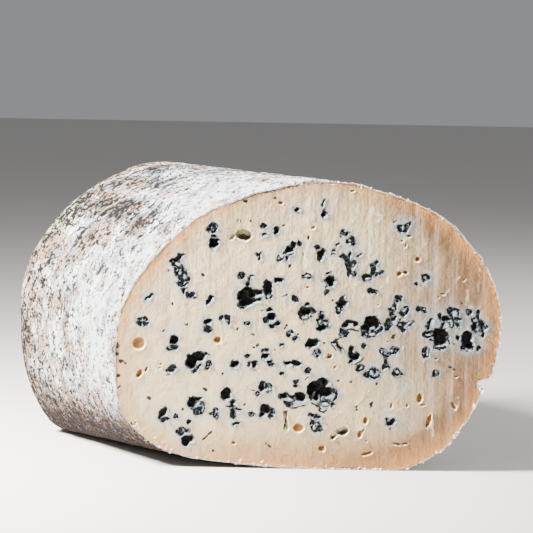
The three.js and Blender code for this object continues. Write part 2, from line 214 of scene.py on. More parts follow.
# Small dark flecks: across, up, radius.
FLECKS = [
    (-58.7, 82, 0.4), (-44.7, 80.6, 0.65), (-57, 68, 0.55), (-50.8, 60, 0.6), (-60.4, 57, 0.5),
    (-65.8, 28.8, 0.75), (-52.2, 24.8, 0.5), (-43.5, 33.5, 0.5), (-42.6, 32.9, 0.45), (-39.3, 7.3, 0.6),
    (-30.6, 103, 0.4), (-29, 102.8, 0.4), (-25.6, 102.6, 0.4), (-11.7, 101.6, 0.4), (-3.7, 89.7, 0.45),
    (-9.1, 84.7, 0.45), (-15.3, 112.7, 0.45), (0.8, 66.5, 0.5), (-20.1, 66.3, 0.45), (-30.3, 58.3, 0.5),
    (-23.8, 56.3, 0.5), (-21.6, 51.8, 0.55), (-22.9, 50.7, 0.4), (-5.3, 56.6, 0.4), (-6.8, 53.7, 0.45),
    (-15, 50, 0.35), (-36, 39.8, 0.5), (-26.5, 27.3, 0.45), (-17.4, 11, 0.45), (-16.2, 9.7, 0.5),
    (-10.2, 60.3, 0.45), (-10.7, 59, 0.5), (-48, 70.8, 0.7), (8.8, 71, 0.5), (34.3, 56.4, 0.6),
    (31.8, 54.5, 0.4), (5, 53.2, 0.4), (11.8, 37.8, 0.5), (17, 37.6, 0.4), (27.2, 36.8, 0.6),
    (19.4, 26.9, 0.55), (19.5, 25.4, 0.45), (25.6, 28.2, 0.55), (25.7, 27.2, 0.5), (33.4, 18.4, 0.35),
    (61.8, 70.7, 0.45), (57.5, 44.4, 0.5), (59.3, 43, 0.5), (59, 53.5, 0.35), (-6, 106.6, 0.4),
    (36.5, 63.5, 0.5), (57, 53.4, 0.4), (11.8, 97, 0.4), (3.2, 86.5, 0.4), (6, 73.3, 0.45),
    (-79.4, 50.8, 1.1), (-79.3, 47, 0.8), (-78, 44.2, 1), (-76.2, 43.4, 0.5), (-78.9, 38, 0.8),
    (-78.6, 33.4, 0.5), (75.5, 44, 0.6), (-27.4, 111, 0.8),
]

# Thin dark lines: from across, up, to across, up, half width.
CRACKS = [
    (-59.6, 38.6, -57.6, 39.1, 0.25), (-43.2, 12.7, -40.3, 15.7, 0.45), (-11.6, 72.3, -9.9, 72.6, 0.2),
    (-22.2, 33.4, -24, 33.5, 0.2), (-1.8, 37.3, -0.3, 39, 0.25), (-34.4, 26.2, -31, 25.8, 0.25),
    (-10, 26.6, -6, 25.9, 0.3), (-6, 25.9, -1.8, 27, 0.3), (1, 28, 4, 26.5, 0.35),
    (4, 26.5, 4.5, 25.2, 0.35), (4.5, 25.2, 6, 24.6, 0.35), (6, 24.6, 7.3, 25.4, 0.3),
    (20.9, 58.4, 22.5, 56.4, 0.3), (22.5, 56.4, 26, 55.8, 0.3), (26, 55.8, 28.3, 58, 0.3),
    (14.7, 58.8, 17.3, 58.7, 0.3), (17.3, 58.7, 19.6, 58.2, 0.3), (12.4, 55.3, 9.6, 53.8, 0.35),
    (9.1, 52.8, 10.9, 49.9, 0.3), (18, 44.3, 20.5, 45.6, 0.3), (20.5, 45.6, 22.1, 47.2, 0.3),
    (49, 55.2, 51.4, 54.8, 0.35), (61.7, 52.6, 64.5, 51, 0.35), (64.5, 51, 66.9, 52.9, 0.35),
    (56.3, 68.3, 58.4, 67.4, 0.3), (58.4, 67.4, 60.9, 67.3, 0.35), (9.3, 15, 10, 13.4, 0.3),
    (-4, 62.9, -0.4, 62.9, 0.25), (0.8, 17.6, 2.6, 16.2, 0.3), (2.6, 16.2, 4.7, 16.7, 0.3),
    (-9.3, 24.6, -9.7, 20.5, 0.35), (-9.7, 20.5, -10.4, 17.2, 0.3),
]

# Pale ridges that the wire dragged up: from across, up, to across, up, half width.
RIDGES = [
    (-1.2, 114, -2.4, 104, 0.35), (-1.2, 96, -2.9, 84.3, 0.35), (10.2, 115.5, 8.8, 110, 0.4),
    (18.6, 110.6, 16.4, 103, 0.35), (24.7, 109, 24.4, 97.5, 0.3), (28.9, 107, 26.8, 103.4, 0.4),
    (26.4, 107.6, 29, 105, 0.3), (18, 77.3, 21.2, 79, 0.25), (20.4, 71.8, 21.6, 73.6, 0.3),
    (30.6, 77.5, 31.4, 80.6, 0.3), (12.6, 75.8, 14.4, 77.4, 0.3), (9.6, 22, 13, 24.6, 0.35),
    (19.6, 27.6, 24.4, 33.6, 0.3), (15.6, 24, 17, 25.4, 0.3), (63.6, 70, 64.2, 76, 0.35),
    (54.4, 73.6, 56.2, 76, 0.35), (51.2, 15.6, 50.2, 24.6, 0.5), (61.4, 27.6, 61.8, 32, 0.4),
    (46.2, 94.8, 47.4, 97.2, 0.3), (29.6, 97.6, 28.2, 93, 0.3), (68.2, 74, 68.8, 86, 0.3),
    (59.2, 79, 60.6, 81.6, 0.3), (35.4, 84, 37.2, 84.9, 0.4), (22.4, 23, 23, 23.6, 0.35),
    (-4.8, 20.4, -3.8, 22, 0.35), (20.2, 17.4, 22.2, 18.2, 0.35), (-63.6, 52, -63.2, 40, 0.3),
]

# Faint blue-grey bruises around the mould: across, up, radius, strength.
HALOES = [
    (-57, 57, 4, 0.6), (-54, 80, 6, 0.5), (-40.5, 97, 4.5, 0.5), (-9, 91, 6, 0.5), (-14.8, 99.3, 3.5, 0.6),
    (-6.4, 107.6, 2.6, 0.7), (4.6, 107.5, 3.4, 0.7), (-9.5, 74, 3.5, 0.7), (14.5, 92, 5, 0.7),
    (16, 86, 5, 0.6), (38, 101.5, 4.5, 0.8), (26.5, 84.5, 4, 0.6), (-26, 73, 8, 0.35), (6, 78, 5, 0.35),
    (-45, 60, 5, 0.5), (-48, 46, 6, 0.4), (-24, 58, 5, 0.4), (24, 60, 7, 0.4), (35, 66, 7, 0.55),
    (33, 48, 6, 0.5), (26, 41, 5, 0.5), (36, 41, 4, 0.5), (53, 60, 9, 0.8), (66, 59, 8, 0.9),
    (48, 50, 4, 0.4), (46.9, 80.8, 4, 0.7), (-47, 26, 6, 0.4), (-58, 22, 5, 0.4), (-50, 13, 5, 0.4),
    (-33, 28, 6, 0.4), (-18, 30, 7, 0.4), (3, 30, 9, 0.35), (2.5, 20, 5, 0.5), (34, 21, 4.5, 0.35),
    (-55, 41, 4, 0.4), (5, 38, 5, 0.9), (69, 55.5, 4, 1), (39, 36.5, 5, 0.5), (30, 27, 7, 0.3),
    (38, 20.5, 6, 0.35), (-66, 70, 3, 0.5), (8, 91, 4, 0.4), (3, 87, 4, 0.5), (-30, 40, 9, 0.35),
]

# Tan smudges in the paste: across, up, radius, strength.
SMUDGES = [
    (60.5, 96.5, 2.6, 0.9), (62.5, 94, 3, 0.7), (23.2, 113.4, 2.2, 0.8), (18.5, 114.2, 1.2, 0.7),
    (23, 115.8, 0.8, 0.8), (-13.3, 110.5, 2, 0.6), (-60.8, 10.8, 1.4, 0.8), (-71, 16, 3, 0.5),
    (38.5, 40.5, 2, 0.6), (32.5, 14, 1.5, 0.6), (22, 9, 3, 0.5), (52.5, 14.7, 1.8, 0.7), (72, 56, 2, 0.7),
    (58, 37, 2, 0.4), (50, 104, 3, 0.6), (46, 108, 2.5, 0.6), (-76, 43, 2, 0.7), (-71, 17, 2.5, 0.8),
    (-66, 85.5, 5, 1), (-70, 80, 5, 1), (-61, 90.5, 4.5, 1), (-54, 96, 4, 0.9), (-74.5, 71, 4, 0.8),
    (-77, 62, 3, 0.6), (-46, 101, 3.5, 0.8), (-36, 107, 3, 0.6), (-62, 11.5, 2.5, 0.8), (72, 68, 4, 0.5),
    (12, 23, 2, 0.4),
]

# Dark crumbs of rind pressed into the paste at the cut's edge: across, up, radius, strength.
CRUST = [
    (-45, 104, 6, 0.5), (-30, 111, 7, 0.9), (-17, 114, 5, 1.2), (-8, 117, 7, 1), (3, 118.6, 5, 0.8),
    (17, 118, 6, 0.5), (27, 116, 4, 0.4), (35.2, 113.4, 3, 1.2), (48, 107, 5, 0.5), (60, 97, 5, 0.5),
    (-60, 91, 6, 0.5), (-74, 72, 6, 0.4), (-79, 48, 6, 0.5), (76, 44, 5, 0.4), (70, 30, 5, 0.4),
]

# ---- places on the rind ----

# Each row: degrees round the drum from its right side over the top, millimetres back from the cut, half
# width round the drum and half length along it in millimetres, strength.

# Grey and soiled patches with more dark strokes.
GRIME = [
    (140, 95, 13, 22, 0.95), (136, 62, 9, 24, 0.9), (140, 30, 10, 16, 0.75), (140, 14, 7, 9, 0.6),
    (152, 60, 12, 16, 0.5), (158, 88, 12, 10, 0.6), (167, 72, 10, 12, 0.45), (118, 92, 9, 20, 0.65),
    (116, 60, 8, 22, 0.5), (105, 100, 12, 14, 0.7), (104, 60, 10, 18, 0.45), (-171, 84, 16, 14, 0.6),
    (-158, 92, 18, 12, 0.7), (178, 48, 10, 8, 0.5), (-152, 80, 10, 18, 0.45), (-118, 60, 22, 100, 1),
    (163, 29, 2.5, 2.5, 0.9), (60, 60, 18, 60, 0.4), (20, 80, 26, 60, 0.3), (-30, 70, 30, 80, 0.5),
    (85, 70, 10, 40, 0.4), (40, 140, 20, 30, 0.5), (-170, 1, 4, 1.6, 1.2),
]

# Patches where the tan rind shows through the bloom.
TAN = [
    (150, 96, 10, 10, 0.8), (150, 50, 10, 12, 0.7), (146, 30, 8, 8, 0.6), (172, 60, 14, 14, 0.5),
    (-160, 95, 22, 12, 1), (-147, 62, 5, 20, 1), (-150, 46, 9, 6, 0.5), (-172, 3, 6, 5, 0.9),
    (172, 2, 10, 4, 0.5), (158, 5, 10, 6, 0.5), (110, 108, 12, 8, 0.7), (-135, 60, 24, 80, 0.8),
    (130, 96, 6, 14, 0.6), (30, 60, 22, 40, 0.5), (-174, 78, 14, 20, 0.7), (165, 84, 12, 16, 0.7),
    (-20, 110, 24, 40, 0.6), (70, 120, 20, 30, 0.5), (177, 52, 8, 8, 0.7), (-162, 90, 8, 8, 1.2),
]

# Patches of the whitest bloom.
BRIGHT = [
    (120, 20, 24, 22, 1), (112, 40, 16, 24, 0.7), (150, 10, 16, 12, 0.9), (165, 30, 14, 16, 0.6),
    (-178, 20, 20, 14, 0.8), (-165, 12, 14, 12, 0.8), (158, 66, 6, 8, 0.5), (170, 46, 12, 12, 0.5),
    (124, 50, 6, 20, 0.6), (-175, 62, 10, 12, 0.4), (90, 12, 14, 14, 0.9), (75, 30, 20, 30, 0.5),
    (106, 18, 10, 30, 0.9), (-170, 14, 12, 14, 1), (148, 22, 5, 22, 0.8), (158, 38, 6, 10, 0.8),
]

# A pale yellow-green bloom.
LICHEN = [(147, 84, 6, 7, 1), (145, 90, 5, 6, 0.9)]

# Round the back and on the end face the marks are painted fainter and lighter, to make up for the key light
# that does not reach there.
MARKED_SIDE = math.radians(152)  # the side with the strongest marks; they are calmer round the back


# ---- sizes and colours that a user would change ----

def paint(code):
    """A colour written as on screen, such as "DDD3C6", as the linear values that shaders take."""
    parts = [int(code[i:i + 2], 16) / 255 for i in (0, 2, 4)]
    return tuple(part / 12.92 if part <= 0.04045 else ((part + 0.055) / 1.055) ** 2.4 for part in parts)


def length(name, description, default, top):
    """A length in metres, given in millimetres."""
    return FloatProperty(
        name=name,
        description=description,
        default=default / METRE,
        min=0,
        soft_max=top / METRE,
        unit="LENGTH",
    )


def colour(name, description, code):
    """A colour with no alpha."""
    return FloatVectorProperty(
        name=name, description=description, default=paint(code), subtype="COLOR", size=3, min=0, max=1,
    )


class CheeseSizes(PropertyGroup):
    """Sizes of the drum, its rind and the cut."""

    cut_angle: FloatProperty(
        name="Cut angle", description="How far the cut is off square to the drum", default=math.radians(30),
        subtype="ANGLE",
    )
    rim_radius: length("Rim radius", "Rounding between the side and the end face", 11, 20)
    end_dish: length("End dish", "How far the end face sinks in its middle", 1.6, 5)
    axis_height: length("Axis height", "Height of the drum's axis above the table", 60, 90)
    rind_edge: length("Rind edge", "Width of the rind where the cut shows it", 0.5, 3)
    pocket_depth: length("Pocket depth", "How deep the cut's paste is let into the drum", 10, 20)
    rind_relief: length("Rind relief", "Height of the rind's wrinkles", 0.3, 1)
    face_cell: length("Face cell", "Width of the cut face's widest cells", 1, 2)
    deepest_hole: length("Deepest hole", "Depth of the largest cavities", 5.2, 8)
    ragged: length("Ragged edges", "How far the holes' edges wander", 0.42, 1)


class CheeseColours(PropertyGroup):
    """Colours of the paste, the mould and the rind."""

    paste: colour("Paste", "The pale paste in the middle", "D3BE95")
    # The warm paste colour also serves as painted shade: to the right, at the foot, and along the wire's
    # grooves.
    paste_warm_and_shade: colour("Warm paste", "The paste towards the rind", "7E5D3D")
    paste_edge: colour("Edge of the paste", "The tan line under the rind", "C48544")
    crust: colour("Crust", "Crumbs of rind pressed into the paste at its edge", "35272A")
    # The lip colour also serves as painted highlight: on the lit side of the eyes' lips and on the wire's
    # stripes.
    lip: colour("Lip", "Pale edges of the eyes and the wire's ridges", "F6F1E6")
    eye: colour("Eye", "The lit side of a clean eye", "CFAC6E")
    eye_dark: colour("Eye in shade", "The shaded side of a clean eye", "9E6E32")
    # The deep holes are painted in light and shade: pale olive on their upper-left side, dark on their
    # lower-right side where they run deepest.
    eye_olive: colour("Olive eye", "The side of a deep clean hole that lies in shade", "CFC39A")
    eye_deep_shade: colour("Deep eye", "The other side of a deep clean hole", "3F3A25")
    # The black mould colour also serves as painted shade along the pockets' edges, on the side away from the
    # light.
    mould_black: colour("Black mould", "Mould in the open holes", "242120")
    # The blue mould colour also serves as the painted shadow line beside the holes' lit rims.
    mould_blue: colour("Blue mould", "Felted mould in shallow pockets", "24292D")
    # The pale mould colour also serves as painted highlight on the holes' rims and lit walls.
    mould_pale: colour("Pale mould", "The mould's pale folds", "AEBBC1")
    bruise: colour("Bruise", "Paste tinged by the mould", "98A1A0")
    bloom: colour("Bloom", "The rind's white bloom", "F6F7F9")
    bloom_grey: colour("Grey bloom", "The rind's blue-grey bloom", "677079")
    rind_tan: colour("Tan rind", "Rind that shows through the bloom", "A5835F")
    rind_dark: colour("Dark rind", "Specks and streaks of dark rind", "1B1512")
    # The brown rind colour is also painted shade: the side is darkened with it low down, near the table.
    rind_brown_and_shade: colour("Brown rind", "The damp rind low on the side", "43271F")
    lichen: colour("Lichen", "The yellow-green bloom", "D5D7A8")
    edge_tan: colour("Rind edge", "The rind's thickness where the cut shows it", "E2C4A8")
    edge_dark: colour("Dark rind edge", "Dark crumbs in the rind's thickness", "5B4A46")


class StageSettings(PropertyGroup):
    """Floor, lights and camera."""

    floor_colour: colour("Floor", "Colour of the plain floor", "D2CEC8")
    floor_size: FloatProperty(name="Floor size", description="Side of the floor", default=8.0, unit="LENGTH")
    key_power: FloatProperty(name="Key light", description="Watts of the upper left light", default=20.0)
    fill_power: FloatProperty(name="Fill light", description="Watts of the light in front", default=4.0)
    rim_power: FloatProperty(name="Rim light", description="Watts of the light behind", default=7.0)
    sky: FloatProperty(name="Sky", description="Strength of the light from all round", default=0.3)
    focal_length: FloatProperty(name="Lens", description="Focal length in millimetres", default=162.1)


# ---- plain mathematics ----

WHOLE_TURN = 2 * math.pi


def smooth(value, low, high):
    """0 below low, 1 above high, and smooth between; low may be the larger one."""
    ratio = np.clip((value - low) / (high - low), 0, 1)
    return ratio * ratio * (3 - 2 * ratio)


def turn_from(angle, start):
    """How far an angle is from another, from minus half a turn to half a turn."""
    return (angle - start + math.pi) % WHOLE_TURN - math.pi


def turn_near(angle, other):
    """The angle with whole turns added or taken, so that it is within half a turn of another."""
    return angle - WHOLE_TURN * np.round((angle - other) / WHOLE_TURN)


class Grain:
    """Seeded smooth noise from -1 to 1 on points in millimetres."""

    STEPS = (73856093, 19349663, 83492791)
    CELLS = 8191
    SHIFTS = (0, 17.3, 41.9, 68.1)

    def __init__(self, seed):
        self.values = np.random.default_rng(seed).uniform(-1, 1, self.CELLS)

    def at(self, size, *coordinates):
        """The noise of that size, in up to three coordinates."""
        lattice = [np.floor(c / size).astype(np.int64) for c in coordinates]
        places = [c / size - cell for c, cell in zip(coordinates, lattice)]
        weights = [p * p * (3 - 2 * p) for p in places]
        total = 0
        for corner in range(2 ** len(coordinates)):
            key = 0
            weight = 1
            for i, (cell, part, step) in enumerate(zip(lattice, weights, self.STEPS)):
                up = corner >> i & 1
                key = key ^ ((cell + up) * step)
                weight = weight * (part if up else 1 - part)
            total = total + weight * self.values[key % self.CELLS]
        return total

    def rough(self, size, octaves, *coordinates):
        """Noise with finer noise on top of it."""
        total = 0
        for i in range(octaves):
            total = total + 0.55 ** i * self.at(size / 2 ** i, *(c + self.SHIFTS[i] for c in coordinates))
        return total


BLEND = 0.25  # millimetres over which neighbouring holes run together


def oval_distance(across, up, row):
    """Millimetres from an oval's edge, negative inside it."""
    x, z, half_width, half_height = row[:4]
    tilt = math.radians(row[4]) if len(row) > 4 else 0
    dx, dz = across - x, up - z
    along = dx * math.cos(tilt) + dz * math.sin(tilt)
    aside = dz * math.cos(tilt) - dx * math.sin(tilt)
    near = np.hypot(along / half_width, aside / half_height)
    slope = np.hypot(along / half_width ** 2, aside / half_height ** 2)
    return near * (near - 1) / np.maximum(slope, 1e-6)


def line_distance(across, up, row):
    """Millimetres from the edge of a short thick line, negative inside it."""
    x0, z0, x1, z1, half_width = row
    run, rise = x1 - x0, z1 - z0
    part = ((across - x0) * run + (up - z0) * rise) / (run * run + rise * rise)
    part = np.clip(part, 0, 1)
    return np.hypot(across - x0 - part * run, up - z0 - part * rise) - half_width


def nearest(across, up, rows, distance, reach=5):
    """The distance to the nearest shape, at most reach; shapes that all but touch run together."""
    total = np.full(across.shape, math.exp(-reach / BLEND))
    for row in rows:
        if distance is line_distance:
            middle = (row[0] + row[2]) / 2, (row[1] + row[3]) / 2
            span = math.dist(row[:2], row[2:4]) / 2
        else:
            middle, span = row[:2], max(row[2:4])
        close = np.abs(across - middle[0]) < span + reach
        close &= np.abs(up - middle[1]) < span + reach
        total[close] += np.exp(-distance(across[close], up[close], row) / BLEND)
    return -BLEND * np.log(total)


def spots(across, up, rows):
    """Soft round spots: the strongest of the rows at each point."""
    total = np.zeros(across.shape)
    for x, z, radius, strength in rows:
        spread = np.hypot(across - x, up - z) / radius
        total = np.maximum(total, strength * np.exp(-spread ** 2))
    return total


# ---- the drum ----

ON_CUT = 0.02  # a point this close to the cut's plane is on it
ON_SHOULDER = 0.05  # and one this close to where the rim starts is on that ring


class Drum:
    """The drum's outline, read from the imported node, in millimetres from the middle of the cut."""

    def __init__(self, sizes):
        self.angle = sizes.cut_angle
        self.rim = sizes.rim_radius * METRE
        self.dish = sizes.end_dish * METRE
        self.axis_height = sizes.axis_height * METRE
        points = read_points(frame["nodes"][CHEESE].data) * METRE
        self.cut_y = points[:, 1].min()
        on_cut = points[:, 1] < self.cut_y + ON_CUT
        self.middle_x = (points[on_cut, 0].min() + points[on_cut, 0].max()) / 2
        across, along, up = self.spin(points)
        self.end = along.max()
        self.shoulder = self.end - self.rim
        on_shoulder = np.abs(along - self.shoulder) < ON_SHOULDER
        self.near = self.outline(across[on_cut], up[on_cut])
        self.far = self.outline(across[on_shoulder], up[on_shoulder])

    def spin(self, points):
        """From the frame to across the drum, along it and up."""
        x, y = points[:, 0] - self.middle_x, points[:, 1] - self.cut_y
        sine, cosine = math.sin(self.angle), math.cos(self.angle)
        return x * cosine + y * sine, y * cosine - x * sine, points[:, 2]

    def place(self, across, along, up):
        """From the drum's directions back to the frame."""
        sine, cosine = math.sin(self.angle), math.cos(self.angle)
        x = across * cosine - along * sine + self.middle_x
        y = across * sine + along * cosine + self.cut_y
        return np.column_stack((x, y, np.maximum(up, 0)))

    def turn(self, across, up):
        """The angle round the axis, from the right side over the top."""
        return np.arctan2(up - self.axis_height, across)

    def outline(self, across, up):
        """The outline's radius by angle, without what is cut into it."""
        hull = convex_hull_2d([(float(a), float(b)) for a, b in zip(across, up)])
        across, up = across[hull], up[hull] - self.axis_height
        angle = np.arctan2(up, across)
        order = np.argsort(angle)
        return angle[order], np.hypot(across, up)[order]

    def radius(self, outline, angle):
        """The radius at an angle, by straight steps between the outline's points."""
        return np.interp(angle, *outline, period=WHOLE_TURN)

    def cut_along(self, across):
        """Where the cut is, along the drum."""
        return -across * math.tan(self.angle)

    def on_face(self, points):
        """From the frame to across the cut face from its middle, and up."""
        return points[:, 0] - self.middle_x, points[:, 2]

    def inside(self, across, up):
        """Millimetres from a point of the cut face to the rind, measured towards the middle."""
        across = across * math.cos(self.angle)
        angle = self.turn(across, up)
        out = self.radius(self.near, angle)
        here = np.hypot(across, up - self.axis_height)
        return (out - here) * np.hypot(np.cos(angle) / math.cos(self.angle), np.sin(angle))


NICK = (73.2, 35.8, 3.4, 2.3, -28)  # the chip out of the rind at the cut's right edge, as on the face
NICK_BACK = 8.5  # how far it runs back along the drum
NICK_DEPTH = 3.6
NICK_SLOPE = (-1.4, 1.6)  # it deepens from this far outside the oval to this far inside


def nick_bite(across, up, back):
    """0 away from the nick, 1 in its deepest part."""
    return smooth(-oval_distance(across, up, NICK), *NICK_SLOPE) * smooth(back, NICK_BACK, 0)


# ---- modelling ----

def read(parts, name, width=3, kind=np.float32):
    """One property of every vertex, corner, edge or face of a mesh."""
    flat = np.empty(len(parts) * width, kind)
    parts.foreach_get(name, flat)
    return flat.reshape(-1, width) if width > 1 else flat


def read_points(mesh):
    """The mesh's vertices."""
    return read(mesh.vertices, "co").astype(float)


def face_middles(mesh):
    """The middles of the mesh's faces."""
    return read(mesh.polygons, "center").astype(float)


def edge_ends(mesh):
    """The two ends of every edge, as vertex numbers."""
    return read(mesh.edges, "vertices", 2, np.int32)


def open_edges(mesh):
    """A choice of the edges with a face on one side only."""
    edges = read(mesh.loops, "edge_index", 1, np.int32)
    return np.bincount(edges, minlength=len(mesh.edges)) == 1


def corner_vertices(mesh):
    """The vertex at each corner of each face, and that corner's face."""
    totals = read(mesh.polygons, "loop_total", 1, np.int32)
    return read(mesh.loops, "vertex_index", 1, np.int32), np.repeat(np.arange(len(totals)), totals)


def write_points(mesh, points):
    """Moves the mesh's vertices."""
    mesh.vertices.foreach_set("co", points.astype(np.float32).ravel())
    mesh.update()


def add_attributes(mesh, layers):
    """Stores numbers for each vertex, under the layers' names."""
    for name, values in layers.items():
        layer = mesh.attributes.new(name, "FLOAT", "POINT")
        layer.data.foreach_set("value", np.asarray(values, np.float32))


def write_map(mesh, name, corners):
    """A UV map from a pair of numbers for each corner."""
    layer = mesh.uv_layers.new(name=name)
    layer.data.foreach_set("uv", np.asarray(corners, np.float32).ravel())


def only_selected(piece):
    """Makes the piece the active and only selected object."""
    bpy.ops.object.select_all(action="DESELECT")
    piece.select_set(True)
    bpy.context.view_layer.objects.active = piece


@contextmanager
def editing(piece, kind, chosen):
    """Edit mode with only the chosen edges or faces selected."""
    only_selected(piece)
    mesh = piece.data
    for parts in (mesh.vertices, mesh.edges, mesh.polygons):
        parts.foreach_set("select", np.zeros(len(parts), bool))
    getattr(mesh, kind).foreach_set("select", np.asarray(chosen, bool))
    bpy.context.tool_settings.mesh_select_mode = (False, kind == "edges", kind == "polygons")
    bpy.ops.object.mode_set(mode="EDIT")
    try:
        yield
    finally:
        bpy.ops.object.mode_set(mode="OBJECT")


def named(name):
    """The active object under a new name, with its place in its mesh."""
    piece = bpy.context.object
    piece.name = name
    piece.data.name = name
    bpy.ops.object.transform_apply(location=True, rotation=True, scale=True)
    return piece


def apply_modifier(piece, kind, **settings):
    """Adds a modifier and applies it."""
    only_selected(piece)
    modifier = piece.modifiers.new(kind.title(), kind)
    for setting, value in settings.items():
        setattr(modifier, setting, value)
    bpy.ops.object.modifier_apply(modifier=modifier.name)


# ---- shader building ----

class Signal:
    """A socket that takes part in sums."""

    def __init__(self, finish, socket):
        self.finish = finish
        self.socket = socket

    def maths(self, operation, *values):
        """A new Math node on the values."""
        return self.finish.add("Math", {"operation": operation}, dict(enumerate(values)))

    def __add__(self, other):
        return self.maths("ADD", self, other)

    def __sub__(self, other):
        return self.maths("SUBTRACT", self, other)

    def __rsub__(self, other):
        return self.maths("SUBTRACT", other, self)

    def __mul__(self, other):
        return self.maths("MULTIPLY", self, other)

    def over(self, other):
        """The larger of the two."""
        return self.maths("MAXIMUM", self, other)

    def under(self, other):
        """The smaller of the two."""
        return self.maths("MINIMUM", self, other)

    def step(self, low, high):
        """0 at low, 1 at high, and smooth between."""
        inputs = {"Value": self, "From Min": low, "From Max": high}
        return self.finish.add("MapRange", {"interpolation_type": "SMOOTHSTEP"}, inputs)


class Finish:
    """A material under construction."""

    def __init__(self, name):
        self.material = bpy.data.materials.new(name)
        self.material.use_nodes = True
        self.tree = self.material.node_tree
        self.shader = self.tree.nodes["Principled BSDF"]
        place = self.add("TexCoord", {}, {}, "Object")
        self.millimetres = self.add("VectorMath", {"operation": "SCALE"}, {0: place, "Scale": METRE})

    def add(self, kind, settings, inputs, output=0):
        """A new node: its settings come first, then the values and links of its sockets."""
        node = self.tree.nodes.new("ShaderNode" + kind)
        for setting, value in settings.items():
            setattr(node, setting, value)
        for key, value in inputs.items():
            self.feed(node.inputs[key], value)
        return Signal(self, node.outputs[output])

    def feed(self, socket, value):
        """Sets a socket, or links a signal to it."""
        if isinstance(value, Signal):
            self.tree.links.new(value.socket, socket)
        elif socket.type == "RGBA":
            socket.default_value = (*value[:3], 1)
        else:
            socket.default_value = value

    def mix(self, factor, first, second):
        """Goes from the first colour to the second as factor goes from 0 to 1."""
        return self.add("Mix", {"data_type": "RGBA"}, {0: factor, 6: first, 7: second}, 2)

    def stored(self, name):
        """A number that the mesh stores for each vertex."""
        return self.add("Attribute", {"attribute_name": name}, {}, "Fac")

    def noise(self, size, detail=2.0, stretch=None, where=None):
        """Noise from 0 to 1 with features about size millimetres wide, stretched by three numbers."""
        where = where or self.millimetres
        if stretch:
            where = self.add("Mapping", {"vector_type": "POINT"}, {"Vector": where, "Scale": stretch})
        inputs = {"Vector": where, "Scale": 1 / size, "Detail": detail, "Roughness": 0.55}
        return self.add("TexNoise", {"noise_dimensions": "3D"}, inputs)

    def surface(self, **values):
        """Sets the shader's own sockets; a word's underscores stand for spaces."""
        for name, value in values.items():
            self.feed(self.shader.inputs[name.replace("_", " ")], value)

    def bump(self, height, distance):
        """Relief from a height signal, with its full depth in millimetres."""
        return self.add("Bump", {}, {"Height": height, "Distance": distance / METRE, "Strength": 1.0})


# ---- the paste's finish ----

class PasteGrain:
    """The noises and the stored numbers that the layers of the paste's finish share."""

    def __init__(self, finish):
        self.fine = finish.noise(0.4, 3.0)
        self.clumps = finish.noise(1.0, 3.0)
        self.lumps = finish.noise(2.6, 3.0)
        self.wide = finish.noise(20, 3.0)
        self.wire = finish.noise(1.1, 2.0, (1, 1, 0.03))
        self.wire_wide = finish.noise(5, 2.0, (1, 1, 0.04))
        self.wander = (self.fine - 0.5) * 0.9 + (self.clumps - 0.5) * 1.3  # moves the edges of the marks
        self.teeth = self.fine * 0.6 + self.clumps * 0.4  # breaks up their rims
        self.inside = finish.stored("inside")
        # The stored warmth is partly the paste's warmer tone and partly painted shade, to the right and at
        # the foot.
        self.warm = finish.stored("warm")
        self.striped = finish.stored("striped")
        self.lit = finish.stored("lit")
        # Leans the holes' painted highlights and painted shadows towards the side that faces the light or
        # away from it.
        self.side = self.lit * 0.16 + self.teeth
        self.pocket = finish.stored("pocket") + self.wander
        self.hollow = finish.stored("hollow") + self.wander
        self.in_pocket = self.pocket.step(0.1, -0.1)
        self.in_hollow = self.hollow.step(0.06, -0.06)


def bare_paste(finish, grain, colours):
    """The paste alone: warmer towards the rind, darker to the right and at the foot in painted shade,
    streaked by the wire with painted highlights and shade, bruised and smudged.
    """
    warm = grain.inside.step(20, 2) * 0.3 + grain.warm + (grain.wide - 0.5) * 0.42
    body = finish.mix(warm, colours.paste, colours.paste_warm_and_shade)
    # Painted shade and painted highlights along the wire's grooves: darkened where the stripe noise is high,
    # paled where it is low.
    wire_light_and_shade = ((grain.wire - 0.5) * 0.6 + (grain.wire_wide - 0.5) * 1.1) * grain.striped
    body = finish.mix(wire_light_and_shade.step(0, 0.5) * 0.16, body, colours.paste_warm_and_shade)
    body = finish.mix(wire_light_and_shade.step(0, -0.5) * 0.4, body, colours.lip)
    body = finish.mix(finish.stored("halo") * (grain.lumps * 1.3 + 0.3), body, colours.bruise)
    return finish.mix(finish.stored("smudge") * (grain.clumps * 0.9 + 0.3), body, colours.paste_edge)


def add_rim(finish, grain, colours, body):
    """The tan line under the rind, the wire's pale ridges, and crumbs of rind pressed into the edge."""
    soft_rim = (grain.inside + (grain.clumps - 0.5) * 2.4 + (grain.fine - 0.5) * 0.6).step(3.4, 0.8)
    wide_rim = (grain.inside + (grain.lumps - 0.5) * 5).step(9, 1) * (grain.warm * 0.3 + 0.12)
    body = finish.mix(soft_rim * 0.4 + wide_rim, body, colours.paste_edge)
    body = finish.mix((finish.stored("ridge") + grain.wander).step(0.35, -0.15) * 0.35, body, colours.lip)
    crumbs = (grain.inside + (grain.clumps - 0.5) * 4 + (grain.fine - 0.5) * 1.6).step(1.35, 0.95)
    return finish.mix(crumbs * finish.stored("crust").under(1), body, colours.crust)


